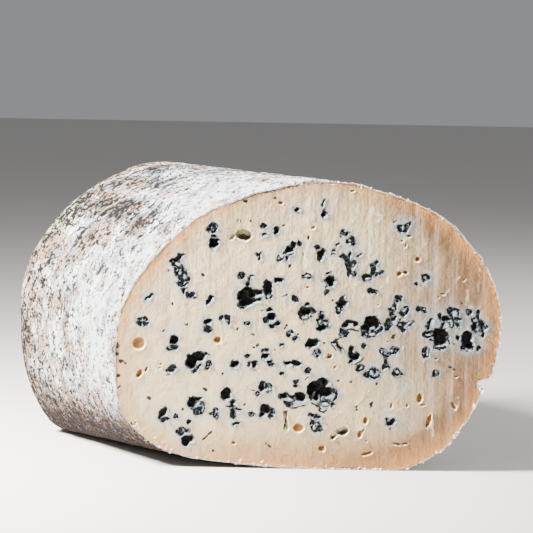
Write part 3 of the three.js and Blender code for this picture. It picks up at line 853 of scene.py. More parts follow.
def add_eyes(finish, grain, colours, body):
    """The clean eyes with their pale lips, which are painted highlights on the lit side: golden ones, painted
    lit and shaded, and deep ones that are painted pale olive and dark brown as light and shade.
    """
    eye = finish.stored("eye") + grain.wander * 0.35
    deep_eye = finish.stored("deep_eye") + grain.wander * 0.5
    around = eye.step(0.6, 0.12).over(deep_eye.step(0.6, 0.12))
    # Painted highlight: the pale lip round each eye, strongest on the side that faces the light.
    body = finish.mix(around * (grain.lit * 0.6 + grain.teeth).step(0.4, 0.8) * 0.65, body, colours.lip)
    # Painted light and shade: each eye is a lighter gold on the side that faces the light and a darker gold
    # on the other.
    gold = finish.mix(grain.lit.step(-0.6, 0.8), colours.eye_dark, colours.eye)
    body = finish.mix(eye.step(0.12, -0.12), body, gold)
    # Painted light and shade in the deep holes: pale olive on the upper-left side, dark on the lower-right
    # side.
    shaded = (grain.lit + (grain.clumps - 0.5) * 2).step(0.5, -0.7)
    deep = finish.mix(shaded, colours.eye_deep_shade, colours.eye_olive)
    return finish.mix(deep_eye.step(0.08, -0.2), body, deep)


def add_mould_edges(finish, grain, colours, body):
    """What rings the mould: a bruise, a broken dark line that is partly painted shadow beside the lit rim,
    and a pale torn rim that is partly painted highlight on the side that faces the light.
    """
    lip = grain.hollow.under(grain.pocket + 0.05)
    body = finish.mix(lip.step(2.4, 0) * grain.lumps.step(0.2, 0.65) * 0.75, body, colours.bruise)
    # Partly painted shadow: a broken dark line round the hole, strongest on the side that faces the light.
    outline = lip.step(0.6, 0.35) * (grain.clumps * 0.5 + grain.side).step(0.62, 0.78)
    body = finish.mix(outline * 0.85, body, colours.mould_blue)
    # Partly painted highlight: a pale torn rim, strongest on the side that faces the light.
    rim = lip.step(0.45, 0.2) * grain.side.step(0.48, 0.62)
    return finish.mix(rim * 0.85, body, colours.mould_pale)


def add_mould(finish, grain, colours, body):
    """The felt in the pockets, with a black edge that is partly painted shade on the side away from the
    light, and the open hollows with their lit walls, pale in part as painted highlight.
    """
    fold = finish.stored("fold") + (grain.fine - 0.5) * 1.4
    streaks = (fold + (grain.clumps - 0.5) * 3).step(0, 1)
    felt = finish.mix(streaks * 0.85, colours.mould_blue, colours.mould_pale)
    # Partly painted shade: the pocket's black edge, heavier on the side away from the light.
    edge = (grain.pocket * -1).step(0.4, 0.1)
    felt = finish.mix(edge * grain.side.step(0.52, 0.44), felt, colours.mould_black)
    body = finish.mix(grain.in_pocket, body, felt)
    # Partly painted highlight: pale walls near the hollow's edge, more on the side that faces the light.
    wall = (grain.hollow * -1).step(0.7, 0.2) * (grain.lit * 0.25 + grain.teeth).step(0.52, 0.66)
    cavity = finish.mix(wall, colours.mould_black, colours.mould_pale)
    return finish.mix(grain.in_hollow, body, cavity)


def add_small_marks(finish, grain, colours, body):
    """The flecks, the cracks and the mould's pale folds."""
    fleck = (finish.stored("fleck") + grain.wander * 0.5).step(0.28, 0)
    body = finish.mix(fleck, body, colours.mould_black)
    crack = (finish.stored("crack") + grain.wander * 0.8).step(0.12, -0.12)
    body = finish.mix(crack, body, colours.mould_black)
    crest = (finish.stored("crest") + grain.wander * 1.2).step(0.14, -0.16)
    return finish.mix(crest * grain.teeth.step(0.44, 0.6) * 0.8, body, colours.mould_pale)


def paste_finish(colours):
    """The cut paste, its eyes and its mould."""
    finish = Finish("Paste")
    grain = PasteGrain(finish)
    body = bare_paste(finish, grain, colours)
    for add_layer in (add_rim, add_eyes, add_mould_edges, add_mould, add_small_marks):
        body = add_layer(finish, grain, colours, body)

    dark = grain.in_pocket.over(grain.in_hollow)
    swell = finish.noise(6, 2.0)
    knobs = grain.clumps.step(0.6, 0.7) - grain.clumps.step(0.37, 0.3)
    height = (grain.wire * 0.5 + grain.wire_wide * 1.2) * grain.striped
    height = height + swell * 2 + grain.lumps * 0.9 + grain.clumps * 0.3
    height = height + knobs * 0.25 + grain.fine * dark * 2
    finish.surface(
        Base_Color=body,
        Roughness=dark * 0.4 + 0.42 + (grain.wide - 0.5) * 0.15,
        Normal=finish.bump(height, 0.42),
        Subsurface_Weight=0.1,
        Subsurface_Scale=0.003,
        Specular_IOR_Level=0.4,
    )
    return finish.material


# ---- the rind's finish ----

FLOW = (0.55, 0.85, 1)  # how the rind's patterns are stretched: round the drum, along it and through it


class RindGrain:
    """The noises and the stored patches that the layers of the rind's finish share."""

    def __init__(self, finish):
        wrap = self.swaying_map(finish)
        self.flakes = finish.noise(2.2, 4.0, FLOW, wrap)
        self.chips = finish.noise(1.5, 4.0, (0.5, 0.9, 1), wrap)
        self.streak = finish.noise(4, 3.0, (0.5, 1, 1), wrap)
        self.felt = finish.noise(0.55, 3.0)
        self.grime = finish.stored("grime")
        self.bright = finish.stored("bright")
        # Brown low on the side: partly damp rind, partly painted shade near the table.
        self.damp = finish.stored("damp")
        # Painted light: 1 round the back and on the end face, where the marks are painted fainter and lighter
        # for the key light that does not reach there.
        self.calm = finish.stored("calm")
        blotch = finish.noise(9, 4.0, (0.8, 0.8, 1), wrap)
        self.shade = (blotch - 0.5) * 2.4 + (self.flakes - 0.5) * 0.9 + self.grime * 0.4 - self.bright * 0.26
        patch = finish.noise(7, 4.0, FLOW, wrap)
        warm = (patch - 0.5) * 2.2 + (self.chips - 0.5) * 0.8 + finish.stored("tan") * 0.4
        warm = warm + self.grime * 0.1 + self.damp * 0.12 - self.bright * 0.16
        self.warm = warm.step(-0.02, 0.2) * (1 - self.calm * 0.35)

    def swaying_map(self, finish):
        """The wrap map in millimetres, bent so that the marks don't run straight."""
        wrap = finish.add("UVMap", {"uv_map": "wrap"}, {})
        wrap = finish.add("VectorMath", {"operation": "SCALE"}, {0: wrap, "Scale": METRE})
        inputs = {"Vector": finish.millimetres, "Scale": 0.22, "Detail": 3.0}
        sway = finish.add("TexNoise", {"noise_dimensions": "3D"}, inputs, 1)
        return finish.add("VectorMath", {"operation": "MULTIPLY_ADD"}, {0: sway, 1: (5, 5, 0), 2: wrap})


def felt_and_tan(finish, grain, colours):
    """White and grey felt, tan where it is thin, brown low on the side, partly damp rind and partly painted
    shade near the table, with a patch of lichen.
    """
    cloud = grain.shade.step(-0.3, 0.3) * (grain.felt * 0.8 + 0.5) * (1 - grain.calm * 0.45)
    body = finish.mix(cloud, colours.bloom, colours.bloom_grey)
    body = finish.mix(grain.warm * (grain.felt * 0.9 + 0.4), body, colours.rind_tan)
    damp = grain.damp * (grain.flakes * 1.3 + 0.4) * (1 - grain.calm * 0.4)
    body = finish.mix(damp, body, colours.rind_brown_and_shade)
    return finish.mix(finish.stored("lichen") * (grain.felt * 1.1 + 0.3), body, colours.lichen)


def dark_strokes(grain):
    """1 on the dark strokes that run round the drum, and 0 between them."""
    strokes = (grain.chips - 0.5) * 1.6 + (grain.flakes - 0.5) * 0.7
    strokes = strokes + (grain.felt - 0.5) * 0.6 + (grain.streak - 0.5) * 0.4
    strokes = strokes + grain.shade * 0.35 + grain.grime * 0.3 - 0.09 - grain.calm * 0.06
    return strokes.step(0.18, 0.28) * (1 - grain.calm * 0.65)


def dark_specks(finish, grain):
    """1 on the small dark specks, and 0 between them."""
    where = finish.millimetres
    dots = finish.add("TexVoronoi", {"feature": "F1"}, {"Vector": where, "Scale": 0.7, "Randomness": 1.0})
    picked = finish.add("TexNoise", {}, {"Vector": where, "Scale": 0.3, "Detail": 1.0})
    specks = dots + (picked - 0.5) * 1.4 - grain.grime * 0.1 - grain.damp * 0.1 - grain.warm * 0.06
    return specks.step(0.42, 0.36) * (1 - grain.calm * 0.6)


def rind_finish(colours):
    """The bloomy rind: white and grey felt over tan and dark marks that run round the drum."""
    finish = Finish("Rind")
    grain = RindGrain(finish)
    strokes = dark_strokes(grain)
    powder = (grain.felt * 0.7 - grain.flakes * 0.5 + grain.bright * 0.1 - grain.grime * 0.1).step(0.15, 0.22)
    body = felt_and_tan(finish, grain, colours)
    body = finish.mix(strokes, body, colours.rind_dark)
    body = finish.mix(dark_specks(finish, grain), body, colours.rind_dark)
    body = finish.mix(powder * (0.85 - grain.damp * 0.4), body, colours.bloom)
    edge = finish.mix(grain.flakes.step(0.42, 0.6), colours.edge_tan, colours.bloom)
    edge = finish.mix((grain.felt * 0.5 + grain.chips * 0.5).step(0.56, 0.64), edge, colours.edge_dark)
    body = finish.mix(finish.stored("lip") * 0.95, body, edge)

    height = grain.streak * 1.6 + grain.flakes * 1.8 + grain.chips * 0.8 - strokes * 0.6
    height = height + grain.felt * 1.2 + powder * 0.4
    finish.surface(Base_Color=body, Roughness=0.9, Normal=finish.bump(height, 1.8), Specular_IOR_Level=0.2)
    return finish.material


def crumb_finish(colours):
    """Dry white crumbs and threads of bloom."""
    finish = Finish("Crumb")
    felt = finish.noise(0.7, 3.0)
    body = finish.mix(finish.noise(2.2, 2.0).step(0.42, 0.58), colours.rind_tan, colours.bloom)
    body = finish.mix(felt.step(0.4, 0.6) * 0.7, body, colours.bloom)
    finish.surface(Base_Color=body, Roughness=0.85, Normal=finish.bump(felt, 0.3), Specular_IOR_Level=0.2)
    return finish.material


# ---- the drum under its rind ----

AROUND = 96  # sides of the drum before it is smoothed
LENGTHWAYS = 32  # stretches along its side
RIM_STEPS = 5
END_RINGS = 7
ROUGH_RADIUS = 60  # of the round bar that the drum starts from
ROUGH_FRONT = -120  # the bar starts this far in front of the cut's middle
NEAR_END = 0.1  # what is this close to the end's plane belongs to the end face
TAPER = 0.95  # the paste narrows to this share of its width where it ends inside the drum
RIND_SEED = 5


def rough_drum(drum):
    """A round bar with a slanted cut, a rounded rim, and rings along its side and on its end face."""
    bpy.ops.object.select_all(action="DESELECT")
    middle = drum.place(*np.array([[0.0], [(drum.end + ROUGH_FRONT) / 2], [drum.axis_height]]))
    bpy.ops.mesh.primitive_cylinder_add(
        vertices=AROUND, radius=ROUGH_RADIUS / METRE, depth=(drum.end - ROUGH_FRONT) / METRE,
        end_fill_type="NGON", location=middle[0] / METRE, rotation=(-math.pi / 2, 0, drum.angle),
    )
    piece = named("rind")
    mesh = piece.data
    with editing(piece, "polygons", np.ones(len(mesh.polygons), bool)):
        cut = (drum.middle_x / METRE, drum.cut_y / METRE, 0)
        bpy.ops.mesh.bisect(plane_co=cut, plane_no=(0, -1, 0), clear_outer=True, use_fill=False)

    along = drum.spin(read_points(mesh) * METRE)[1]
    at_end = (along > drum.end - NEAR_END)[edge_ends(mesh)].all(axis=1)
    with editing(piece, "edges", at_end):
        bpy.ops.mesh.bevel(offset=drum.rim / METRE, offset_type="OFFSET", segments=RIM_STEPS, affect="EDGES")

    along = drum.spin(face_middles(mesh) * METRE)[1]
    with editing(piece, "polygons", along > drum.end - NEAR_END):
        step = (ROUGH_RADIUS - drum.rim) / (END_RINGS + 1)
        for _ in range(END_RINGS):
            bpy.ops.mesh.inset(thickness=step / METRE, depth=0)
        bpy.ops.mesh.poke()

    first, last = drum.spin(read_points(mesh) * METRE)[1][edge_ends(mesh)].T
    with editing(piece, "edges", np.abs(first - last) > 3 * drum.rim):
        bpy.ops.mesh.subdivide(number_cuts=LENGTHWAYS - 1)
    return piece


def fit_to_outline(piece, drum):
    """Moves the round bar's vertices onto the drum's own outline."""
    mesh = piece.data
    across, along, up = drum.spin(read_points(mesh) * METRE)
    angle = drum.turn(across, up)
    spread = np.hypot(across, up - drum.axis_height)
    near = drum.radius(drum.near, angle)
    far = drum.radius(drum.far, angle)
    start = drum.cut_along(across)
    part = np.clip((along - start) / (drum.shoulder - start), 0, 1)
    cut_here = drum.cut_along(near * np.cos(angle))
    side_along = cut_here + (drum.shoulder - cut_here) * part

    flat_radius = ROUGH_RADIUS - drum.rim
    within = np.clip(spread / flat_radius, 0, 1)
    is_end = spread < flat_radius + 0.01
    is_rim = (along > drum.shoulder + 0.01) & ~is_end
    on_side = near + (far - near) * part
    on_rim = far - (ROUGH_RADIUS - spread)
    on_end = (far - drum.rim) * within
    radius = np.where(is_end, on_end, np.where(is_rim, on_rim, on_side))
    end_along = drum.end - drum.dish * (1 - within ** 2)
    new_along = np.where(is_end, end_along, np.where(is_rim, along, side_along))
    new_up = radius * np.sin(angle) + drum.axis_height
    write_points(mesh, drum.place(radius * np.cos(angle), new_along, new_up) / METRE)


def wrinkle(piece, drum, sizes):
    """Raises the rind's waves, streaks and lumps, frays its edge at the cut and sinks the nick."""
    mesh = piece.data
    points = read_points(mesh) * METRE
    normals = read(mesh.vertex_normals, "vector").astype(float)
    across, along, up = drum.spin(points)
    around = drum.turn(across, up) * ROUGH_RADIUS
    back = along - drum.cut_along(across)
    grain = Grain(RIND_SEED)
    x, y, z = points.T
    relief = 0.9 * grain.rough(11, 2, x, y, z)
    relief += 0.7 * grain.rough(3.4, 2, around / 2.4, along, np.zeros(len(along)))
    relief += 0.6 * grain.at(1.9, x, y, z)
    frayed = smooth(back, 4, 0) * (1.9 * grain.rough(3, 3, x, y, z) + 0.35)
    rise = sizes.rind_relief * METRE * (relief + frayed) * smooth(up, 0.2, 7)
    rise = np.maximum(rise, -0.04 - 0.28 * back)
    rise -= NICK_DEPTH * nick_bite(across / math.cos(drum.angle), up, back)
    points += normals * rise[:, None]
    points[back < 0.05, 1] = drum.cut_y
    points[:, 1] = np.maximum(points[:, 1], drum.cut_y)
    points[:, 2] = np.maximum(points[:, 2], 0)
    write_points(mesh, points / METRE)


def run_back(drum, depth):
    """Moves the selected rim back into the drum, along its axis and a little inwards."""
    sideways = -depth * math.tan(drum.angle)
    middle = (drum.middle_x / METRE + sideways, drum.cut_y / METRE + depth, drum.axis_height / METRE)
    bpy.ops.transform.translate(value=(sideways, depth, 0))
    bpy.ops.transform.resize(value=(TAPER, 1, TAPER), center_override=middle)


def let_in_pocket(piece, drum, sizes):
    """Closes the cut with a narrow edge of rind and a flat recess behind it."""
    mesh = piece.data
    with editing(piece, "edges", open_edges(mesh)):
        bpy.ops.mesh.edge_face_add()
    with editing(piece, "polygons", np.arange(len(mesh.polygons)) == len(mesh.polygons) - 1):
        bpy.ops.mesh.inset(thickness=sizes.rind_edge, depth=0)
        bpy.ops.mesh.extrude_region_move()
        run_back(drum, sizes.pocket_depth)
        bpy.ops.mesh.select_all(action="SELECT")
        bpy.ops.mesh.normals_make_consistent(inside=False)


def patches(angle, back, rows):
    """Soft patches on the rind: the strongest of the rows at each point."""
    total = np.zeros(angle.shape)
    for degrees, reach, half_width, half_length, strength in rows:
        turn = turn_from(angle, math.radians(degrees))
        spread = np.hypot(turn * ROUGH_RADIUS / half_width, (back - reach) / half_length)
        total = np.maximum(total, strength * np.exp(-spread ** 2))
    return total


def mark_rind(piece, drum):
    """Stores the rind's patches, and where it is bright near the cut, brown below as damp rind and painted
    shade, and painted with fainter, lighter marks round the back and on the end face.
    """
    mesh = piece.data
    across, along, up = drum.spin(read_points(mesh) * METRE)
    angle = drum.turn(across, up)
    back = along - drum.cut_along(across)
    near_cut = 0.7 * smooth(back, 26, 4) * smooth(up, 15, 40)
    round_the_back = smooth(np.abs(turn_from(angle, MARKED_SIDE)), 1.2, 1.65)
    on_end = smooth(along - drum.shoulder, 0.4 * drum.rim, drum.rim)
    add_attributes(mesh, {
        "grime": patches(angle, back, GRIME),
        "tan": patches(angle, back, TAN),
        "lichen": patches(angle, back, LICHEN),
        "bright": np.maximum(patches(angle, back, BRIGHT), near_cut),
        "damp": smooth(up, 30, 6),
        "calm": np.maximum(round_the_back, on_end),
    })


def rind_parts(mesh, drum, sizes):
    """Which faces are the rind's narrow edge, the recess's floor, its wall, and the drum's end."""
    normals = read(mesh.polygons, "normal")
    middles = face_middles(mesh) * METRE
    across, along, up = drum.spin(middles)
    depth = middles[:, 1] - drum.cut_y
    deepest = sizes.pocket_depth * METRE
    facing = normals[:, 1] < -0.9
    lip = facing & (depth < 1)
    floor = facing & (depth > deepest - 1)
    aside = normals[:, 0] * math.cos(drum.angle) + normals[:, 1] * math.sin(drum.angle)
    outward = aside * across + normals[:, 2] * (up - drum.axis_height)
    wall = ~facing & (outward < 0) & (depth < deepest) & (along < drum.shoulder)
    end = ~(lip | floor | wall) & (along > drum.end - 0.35 * drum.rim)
    return lip, floor, wall, end


SEAM = -math.pi / 2  # the rind's maps are slit along the drum's foot
END_PATTERN = 300  # the end face reads the pattern this far from the side's part of it
ROUND_SPAN = 150  # millimetres of a round face that take the map sizes below

# Where things lie on the baking maps, in shares of the map.
MARGIN = 0.005
BAND = 0.99  # width of a strip that goes all round
SIDE_HEIGHT = 0.45
LIP_AT = 0.47
LIP_SCALE = 0.006  # share of the map for a millimetre
WALL_AT = 0.488
WALL_SCALE = 0.0012
END_AT = (0.24, 0.74)
END_SIZE = 0.45
FLOOR_AT = (0.75, 0.7)
FLOOR_SIZE = 0.2


def round_face(across, up, middle, size):
    """A round face's place on a map: its middle and its size there."""
    return np.column_stack((middle[0] + size * across / ROUND_SPAN, middle[1] + size * up / ROUND_SPAN))


def map_rind(piece, drum, sizes):
    """Lays the rind out twice: in metres for its patterns, and within the square for baking."""
    mesh = piece.data
    vertices, faces = corner_vertices(mesh)
    lip, floor, wall, end = (part[faces] for part in rind_parts(mesh, drum, sizes))
    middle_across, _, middle_up = drum.spin(face_middles(mesh) * METRE)
    middle_turn = (drum.turn(middle_across, middle_up) - SEAM) % WHOLE_TURN
    points = read_points(mesh)[vertices] * METRE
    across, along, up = drum.spin(points)
    turn = turn_near((drum.turn(across, up) - SEAM) % WHOLE_TURN, middle_turn[faces])
    reach = along + np.maximum(along - drum.shoulder, 0) * (math.pi / 2 - 1)
    pattern = np.column_stack((turn * ROUGH_RADIUS, reach))
    pattern[end] = np.column_stack((across, up + END_PATTERN))[end]
    write_map(mesh, "wrap", pattern / METRE)

    strip = MARGIN + BAND * turn / WHOLE_TURN
    share = (reach - reach.min()) / (drum.end + drum.rim - reach.min())
    edge = drum.inside(points[:, 0] - drum.middle_x, up)
    high = up - drum.axis_height
    flat = np.column_stack((strip, MARGIN + SIDE_HEIGHT * share))
    flat[end] = round_face(across, high, END_AT, END_SIZE)[end]
    flat[lip] = np.column_stack((strip, LIP_AT + LIP_SCALE * edge))[lip]
    flat[wall] = np.column_stack((strip, WALL_AT + WALL_SCALE * (points[:, 1] - drum.cut_y)))[wall]
    flat[floor] = round_face(across, high, FLOOR_AT, FLOOR_SIZE)[floor]
    write_map(mesh, "OFBake", np.clip(flat, 0, 1))
    on_lip = np.zeros(len(mesh.vertices))
    on_lip[vertices[wall]] = 1
    add_attributes(mesh, {"lip": on_lip})


class CHEESE_OT_rind(Operator):
    """Models the drum with its slanted cut and its bloomy rind"""

    bl_idname = "cheese.rind"
    bl_label = "Drum and rind"
    bl_options = {"REGISTER", "UNDO"}

    def execute(self, context):
        sizes = context.scene.cheese_sizes
        drum = Drum(sizes)
        piece = rough_drum(drum)
        fit_to_outline(piece, drum)
        apply_modifier(piece, "SUBSURF", levels=2, render_levels=2)
        wrinkle(piece, drum, sizes)
        let_in_pocket(piece, drum, sizes)
        mark_rind(piece, drum)
        map_rind(piece, drum, sizes)
        only_selected(piece)
        bpy.ops.object.shade_smooth_by_angle(angle=math.radians(50))
        piece.data.materials.append(rind_finish(context.scene.cheese_colours))
        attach(piece, "root")
        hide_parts(CHEESE)
        return {"FINISHED"}


# ---- the cut face ----

FACE_WIDTH = 164  # of the grid that the face starts from
GRID_FOOT = -1  # and it starts this high
DIVISIONS = ((1.5, 3), (0.7, -math.inf))  # each time, cells this near to a hole or to the rind are divided
SET_BACK = 0.12  # the paste lies this far behind the rind's edge
EDGE_OVERLAP = 0.1  # and reaches this close to the outside of the rind
HOLE_GROWTH = 0.25  # every hollow is this much wider than its row
POCKET_GROWTH = 0.35  # and every pocket this much
HOLE_SPAN = 9  # no hole reaches further from its middle
SOFT_SHARE = 0.35  # the edges of eyes and folds wander this share as far as those of the mouldy holes
SHADE_SIDE = (0.6, -0.8)  # across and up, away from the light
SHADE_STEP = 0.7
FARTHEST = 2.5  # distances are stored up to this many millimetres
FAR_ASIDE = 300  # noise read this far aside has nothing in common with the noise here
BACK_SHARE = 0.95  # the paste fills this share of its recess's depth
FACE_SEED = 11

HOLES = HOLLOWS + POCKETS + EYES + DEEP_EYES
FLECK_OVALS = [(x, z, radius, radius) for x, z, radius in FLECKS]


def hole_distance(across, up):
    """The distance to the nearest hole, fold, fleck or crack."""
    across, up = across - DATUM[0], up - DATUM[1]
    return np.minimum(
        nearest(across, up, HOLES + CRESTS + FLECK_OVALS, oval_distance, 3),
        nearest(across, up, CRACKS, line_distance, 3),
    )


def face_grid(drum, sizes):
    """A grid over the cut, trimmed to its outline and divided more finely at every hole."""
    cell = sizes.face_cell * METRE
    cells = round(FACE_WIDTH / cell)
    bpy.ops.object.select_all(action="DESELECT")
    bpy.ops.mesh.primitive_grid_add(
        x_subdivisions=cells, y_subdivisions=cells, size=FACE_WIDTH / METRE, rotation=(math.pi / 2, 0, 0),
        location=(drum.middle_x / METRE, drum.cut_y / METRE, (FACE_WIDTH / 2 + GRID_FOOT) / METRE),
    )
    piece = named("cut_face")
    mesh = piece.data
    for near_hole, near_rind in DIVISIONS:
        across, up = drum.on_face(face_middles(mesh) * METRE)
        with editing(piece, "polygons", drum.inside(across, up) < -1.5 * cell):
            bpy.ops.mesh.delete(type="FACE")
        across, up = drum.on_face(face_middles(mesh) * METRE)
        chosen = (hole_distance(across, up) < near_hole) | (drum.inside(across, up) < near_rind)
        with editing(piece, "polygons", chosen):
            bpy.ops.mesh.subdivide(number_cuts=1)
    return piece


def trim_face(piece, drum):
    """Takes off the cells that would stick out of the rind or into its nick."""
    mesh = piece.data
    across, up = drum.on_face(read_points(mesh) * METRE)
    out = drum.inside(across, up) < EDGE_OVERLAP
    out |= nick_bite(across, up, np.zeros(len(across))) > 0.35
    out |= up < EDGE_OVERLAP
    vertices, faces = corner_vertices(mesh)
    gone = np.zeros(len(mesh.polygons), bool)
    gone[faces[out[vertices]]] = True
    with editing(piece, "polygons", gone):
        bpy.ops.mesh.delete(type="FACE")


def bowl(across, up, rows, deepest, steep):
    """How deep the rows' holes are at each point: a larger hole is deeper, with a wall up to steep wide."""
    depth = np.zeros(across.shape)
    for row in rows:
        half = min(row[2:4])
        close = (np.abs(across - row[0]) < HOLE_SPAN) & (np.abs(up - row[1]) < HOLE_SPAN)
        bottom = min(deepest, 0.7 + 1.5 * half)
        wall = min(steep, 0.8 * half)
        distance = -oval_distance(across[close], up[close], row)
        depth[close] = np.maximum(depth[close], bottom * smooth(distance, -0.05, wall))
    return depth


class CutMarks:
    """What the cut shows at every vertex of its face, by distances in millimetres."""

    def __init__(self, points, drum, ragged):
        across, up = drum.on_face(points)
        self.inside = drum.inside(across, up)
        self.across, self.up = across - DATUM[0], up - DATUM[1]
        self.grain = Grain(FACE_SEED)
        self.torn = self.bent(ragged)
        self.soft = self.bent(SOFT_SHARE * ragged)
        self.distances = {
            "hollow": nearest(*self.torn, HOLLOWS, oval_distance) - HOLE_GROWTH,
            "pocket": nearest(*self.torn, POCKETS, oval_distance) - POCKET_GROWTH,
            "eye": nearest(*self.soft, EYES, oval_distance),
            "deep_eye": nearest(*self.soft, DEEP_EYES, oval_distance),
            "crest": nearest(*self.soft, CRESTS, oval_distance),
            "fleck": nearest(*self.torn, FLECK_OVALS, oval_distance),
            "crack": nearest(*self.torn, CRACKS, line_distance),
            "ridge": nearest(self.torn[0], self.up, RIDGES, line_distance),
        }
        self.lit = self.lit_side()
        self.fold = self.folds()
        self.striped = 0.45 + 0.55 * smooth(self.across, 10, 60) + 0.35 * smooth(self.up, 45, 85)
        self.striped = np.clip(self.striped, 0, 1)

    def noise(self, size, octaves, aside=0):
        """Noise on the face, read that far aside."""
        return self.grain.rough(size, octaves, self.across + aside, self.up)

    def bent(self, ragged):
        """The vertices' places moved about, so that what is read there has a torn edge."""
        sways = [self.noise(2.4, 1, aside) + 0.8 * self.noise(1.0, 2, aside) for aside in (0, FAR_ASIDE)]
        return self.across + ragged * sways[0], self.up + ragged * sways[1]

    def lit_side(self):
        """1 on the side of a hole that faces the light, -1 on the other side."""
        shifted = [place - SHADE_STEP * part for place, part in zip(self.torn, SHADE_SIDE)]
        rise = nearest(*self.torn, HOLES, oval_distance) - nearest(*shifted, HOLES, oval_distance)
        return rise / SHADE_STEP

    def folds(self):
        """1 on the crests of the felt's folds, lower between them."""
        fold = 1 - 5 * np.abs(
            self.grain.at(1.4, self.across, self.up) + 0.5 * self.grain.at(0.7, self.across, self.up)
        )
        return np.maximum(fold, 0.6 - 1.6 * np.maximum(self.distances["crest"] + 0.1, -0.2))

    def hole_depth(self, deepest):
        """How deep the holes, pockets, flecks and cracks are, less the folds that stand in them."""
        marks = self.distances
        hollows = bowl(*self.torn, HOLLOWS, deepest, steep=0.7) * (1 + 0.3 * self.noise(1.6, 2))
        pockets = smooth(marks["pocket"], 0.1, -0.25) * (0.9 - 0.7 * np.clip(self.fold, -0.5, 1))
        depth = np.maximum.reduce((
            hollows,
            pockets,
            bowl(*self.soft, EYES, deepest=2.6, steep=1.4),
            bowl(*self.soft, DEEP_EYES, deepest=4.5, steep=1),
            0.45 * smooth(marks["fleck"], 0.15, -0.3),
            0.9 * smooth(marks["crack"], 0.15, -0.2),
        ))
        folds = smooth(marks["crest"], 0.35, -0.25)
        return depth * (1 - 0.8 * folds) - 0.12 * folds

    def relief(self):
        """How far the paste stands out round the holes and along the wire's ridges."""
        hole = np.minimum.reduce([self.distances[name] for name in ("hollow", "pocket", "eye", "deep_eye")])
        lip = smooth(hole, 1.1, 0.25) * smooth(hole, -0.1, 0.25)
        lip = lip * (0.5 + self.lit) * (1 + 2 * self.grain.at(1.1, self.across, self.up))
        return 0.16 * (lip + smooth(self.distances["ridge"], 0.5, -0.3))

    def waves(self):
        """The cut's slow waves, the wire's grooves and the crumbled edge, as a depth."""
        grooves = self.striped * self.grain.rough(4.5, 1, self.across, self.up / 30)
        crumbled = smooth(self.inside, 2.2, 0.6) * self.noise(1.4, 2)
        return 0.14 * self.noise(14, 2) + 0.06 * grooves + 0.1 * crumbled

    def warmth_and_shade(self):
        """How warm and how shaded the paste is: darker and warmer to the right and at the foot, partly its
        own warmer tone and partly painted shade where the light falls off and the table shades the foot, and
        warmer near the rind on the right.
        """
        to_the_right = 0.85 - 0.3 * smooth(self.up, 70, 95) - 0.25 * smooth(self.up, 50, 22)
        warm = 0.12 + smooth(self.across, -4, 68) * to_the_right
        warm += 0.5 * smooth(self.up, 24, 1) * smooth(self.across, -70, 10)
        ends = 0.2 + 0.8 * smooth(np.abs(self.up - 55), 15, 35)
        return warm + 0.4 * smooth(self.inside, 16, 3) * smooth(self.across, 15, 50) * ends

    def smudged(self):
        """How smudged with tan the paste is: in spots and all along its foot."""
        at_foot = smooth(self.up, 22, 4) * smooth(self.across, -75, -20)
        return np.maximum(spots(self.across, self.up, SMUDGES), 0.34 * at_foot)


def carve(piece, drum, sizes):
    """Sinks the holes, raises the folds and the ridges, and stores the numbers that the finish reads."""
    mesh = piece.data
    points = read_points(mesh) * METRE
    marks = CutMarks(points, drum, sizes.ragged * METRE)
    depth = marks.hole_depth(sizes.deepest_hole * METRE) - marks.relief() + marks.waves()
    points[:, 1] = drum.cut_y + SET_BACK + depth
    write_points(mesh, points / METRE)
    add_attributes(mesh, {name: np.clip(far, -FARTHEST, FARTHEST) for name, far in marks.distances.items()})
    add_attributes(mesh, {
        "fold": marks.fold,
        "lit": marks.lit,
        "inside": np.clip(marks.inside, 0, 60),
        "striped": marks.striped,
        "halo": spots(marks.across, marks.up, HALOES),
        "smudge": marks.smudged(),
        "crust": spots(marks.across, marks.up, CRUST),
        "warm": marks.warmth_and_shade(),
    })


def back_face(piece, drum, sizes):
    """Gives the face its thickness: sides that run back into the drum and a flat back."""
    mesh = piece.data
    with editing(piece, "edges", open_edges(mesh)):
        bpy.ops.mesh.extrude_edges_move()
        run_back(drum, BACK_SHARE * sizes.pocket_depth)
        bpy.ops.mesh.edge_face_add()
        bpy.ops.mesh.select_all(action="SELECT")
        bpy.ops.mesh.quads_convert_to_tris(quad_method="SHORTEST_DIAGONAL", ngon_method="BEAUTY")
        bpy.ops.mesh.normals_make_consistent(inside=False)


FACE_SPAN = 162  # millimetres of the face that fill its map
BACK_SPAN = 900  # and of its back, which is small there
BACK_AT = (0.12, 0.85)
FACE_WALL_AT = 0.77  # the sides' strip lies above the face
FACE_WALL_SCALE = 0.004


def map_face(piece, drum, sizes):
    """A map that looks straight at the cut, with its sides in a strip and its back in a corner."""
    mesh = piece.data
    vertices, faces = corner_vertices(mesh)
    x, y, z = (read_points(mesh)[vertices] * METRE - (drum.middle_x, drum.cut_y, 0)).T
    flat = np.column_stack((0.5 + x / FACE_SPAN, MARGIN + z / FACE_SPAN))
    back = (read(mesh.polygons, "normal")[:, 1] > 0.99)[faces]
    flat[back] = np.column_stack((BACK_AT[0] + x / BACK_SPAN, BACK_AT[1] + z / BACK_SPAN))[back]
    deep_corners = np.bincount(faces, weights=y > 0.9 * sizes.pocket_depth * METRE)
    side = ~back & (deep_corners > 0)[faces]
    middle_turn = drum.turn(*drum.on_face(face_middles(mesh) * METRE))[faces] % WHOLE_TURN
    turn = turn_near(drum.turn(x, z) % WHOLE_TURN, middle_turn)
    strip = MARGIN + BAND * turn / WHOLE_TURN
    flat[side] = np.column_stack((strip, FACE_WALL_AT + FACE_WALL_SCALE * y))[side]
    write_map(mesh, "OFBake", np.clip(flat, 0, 1))


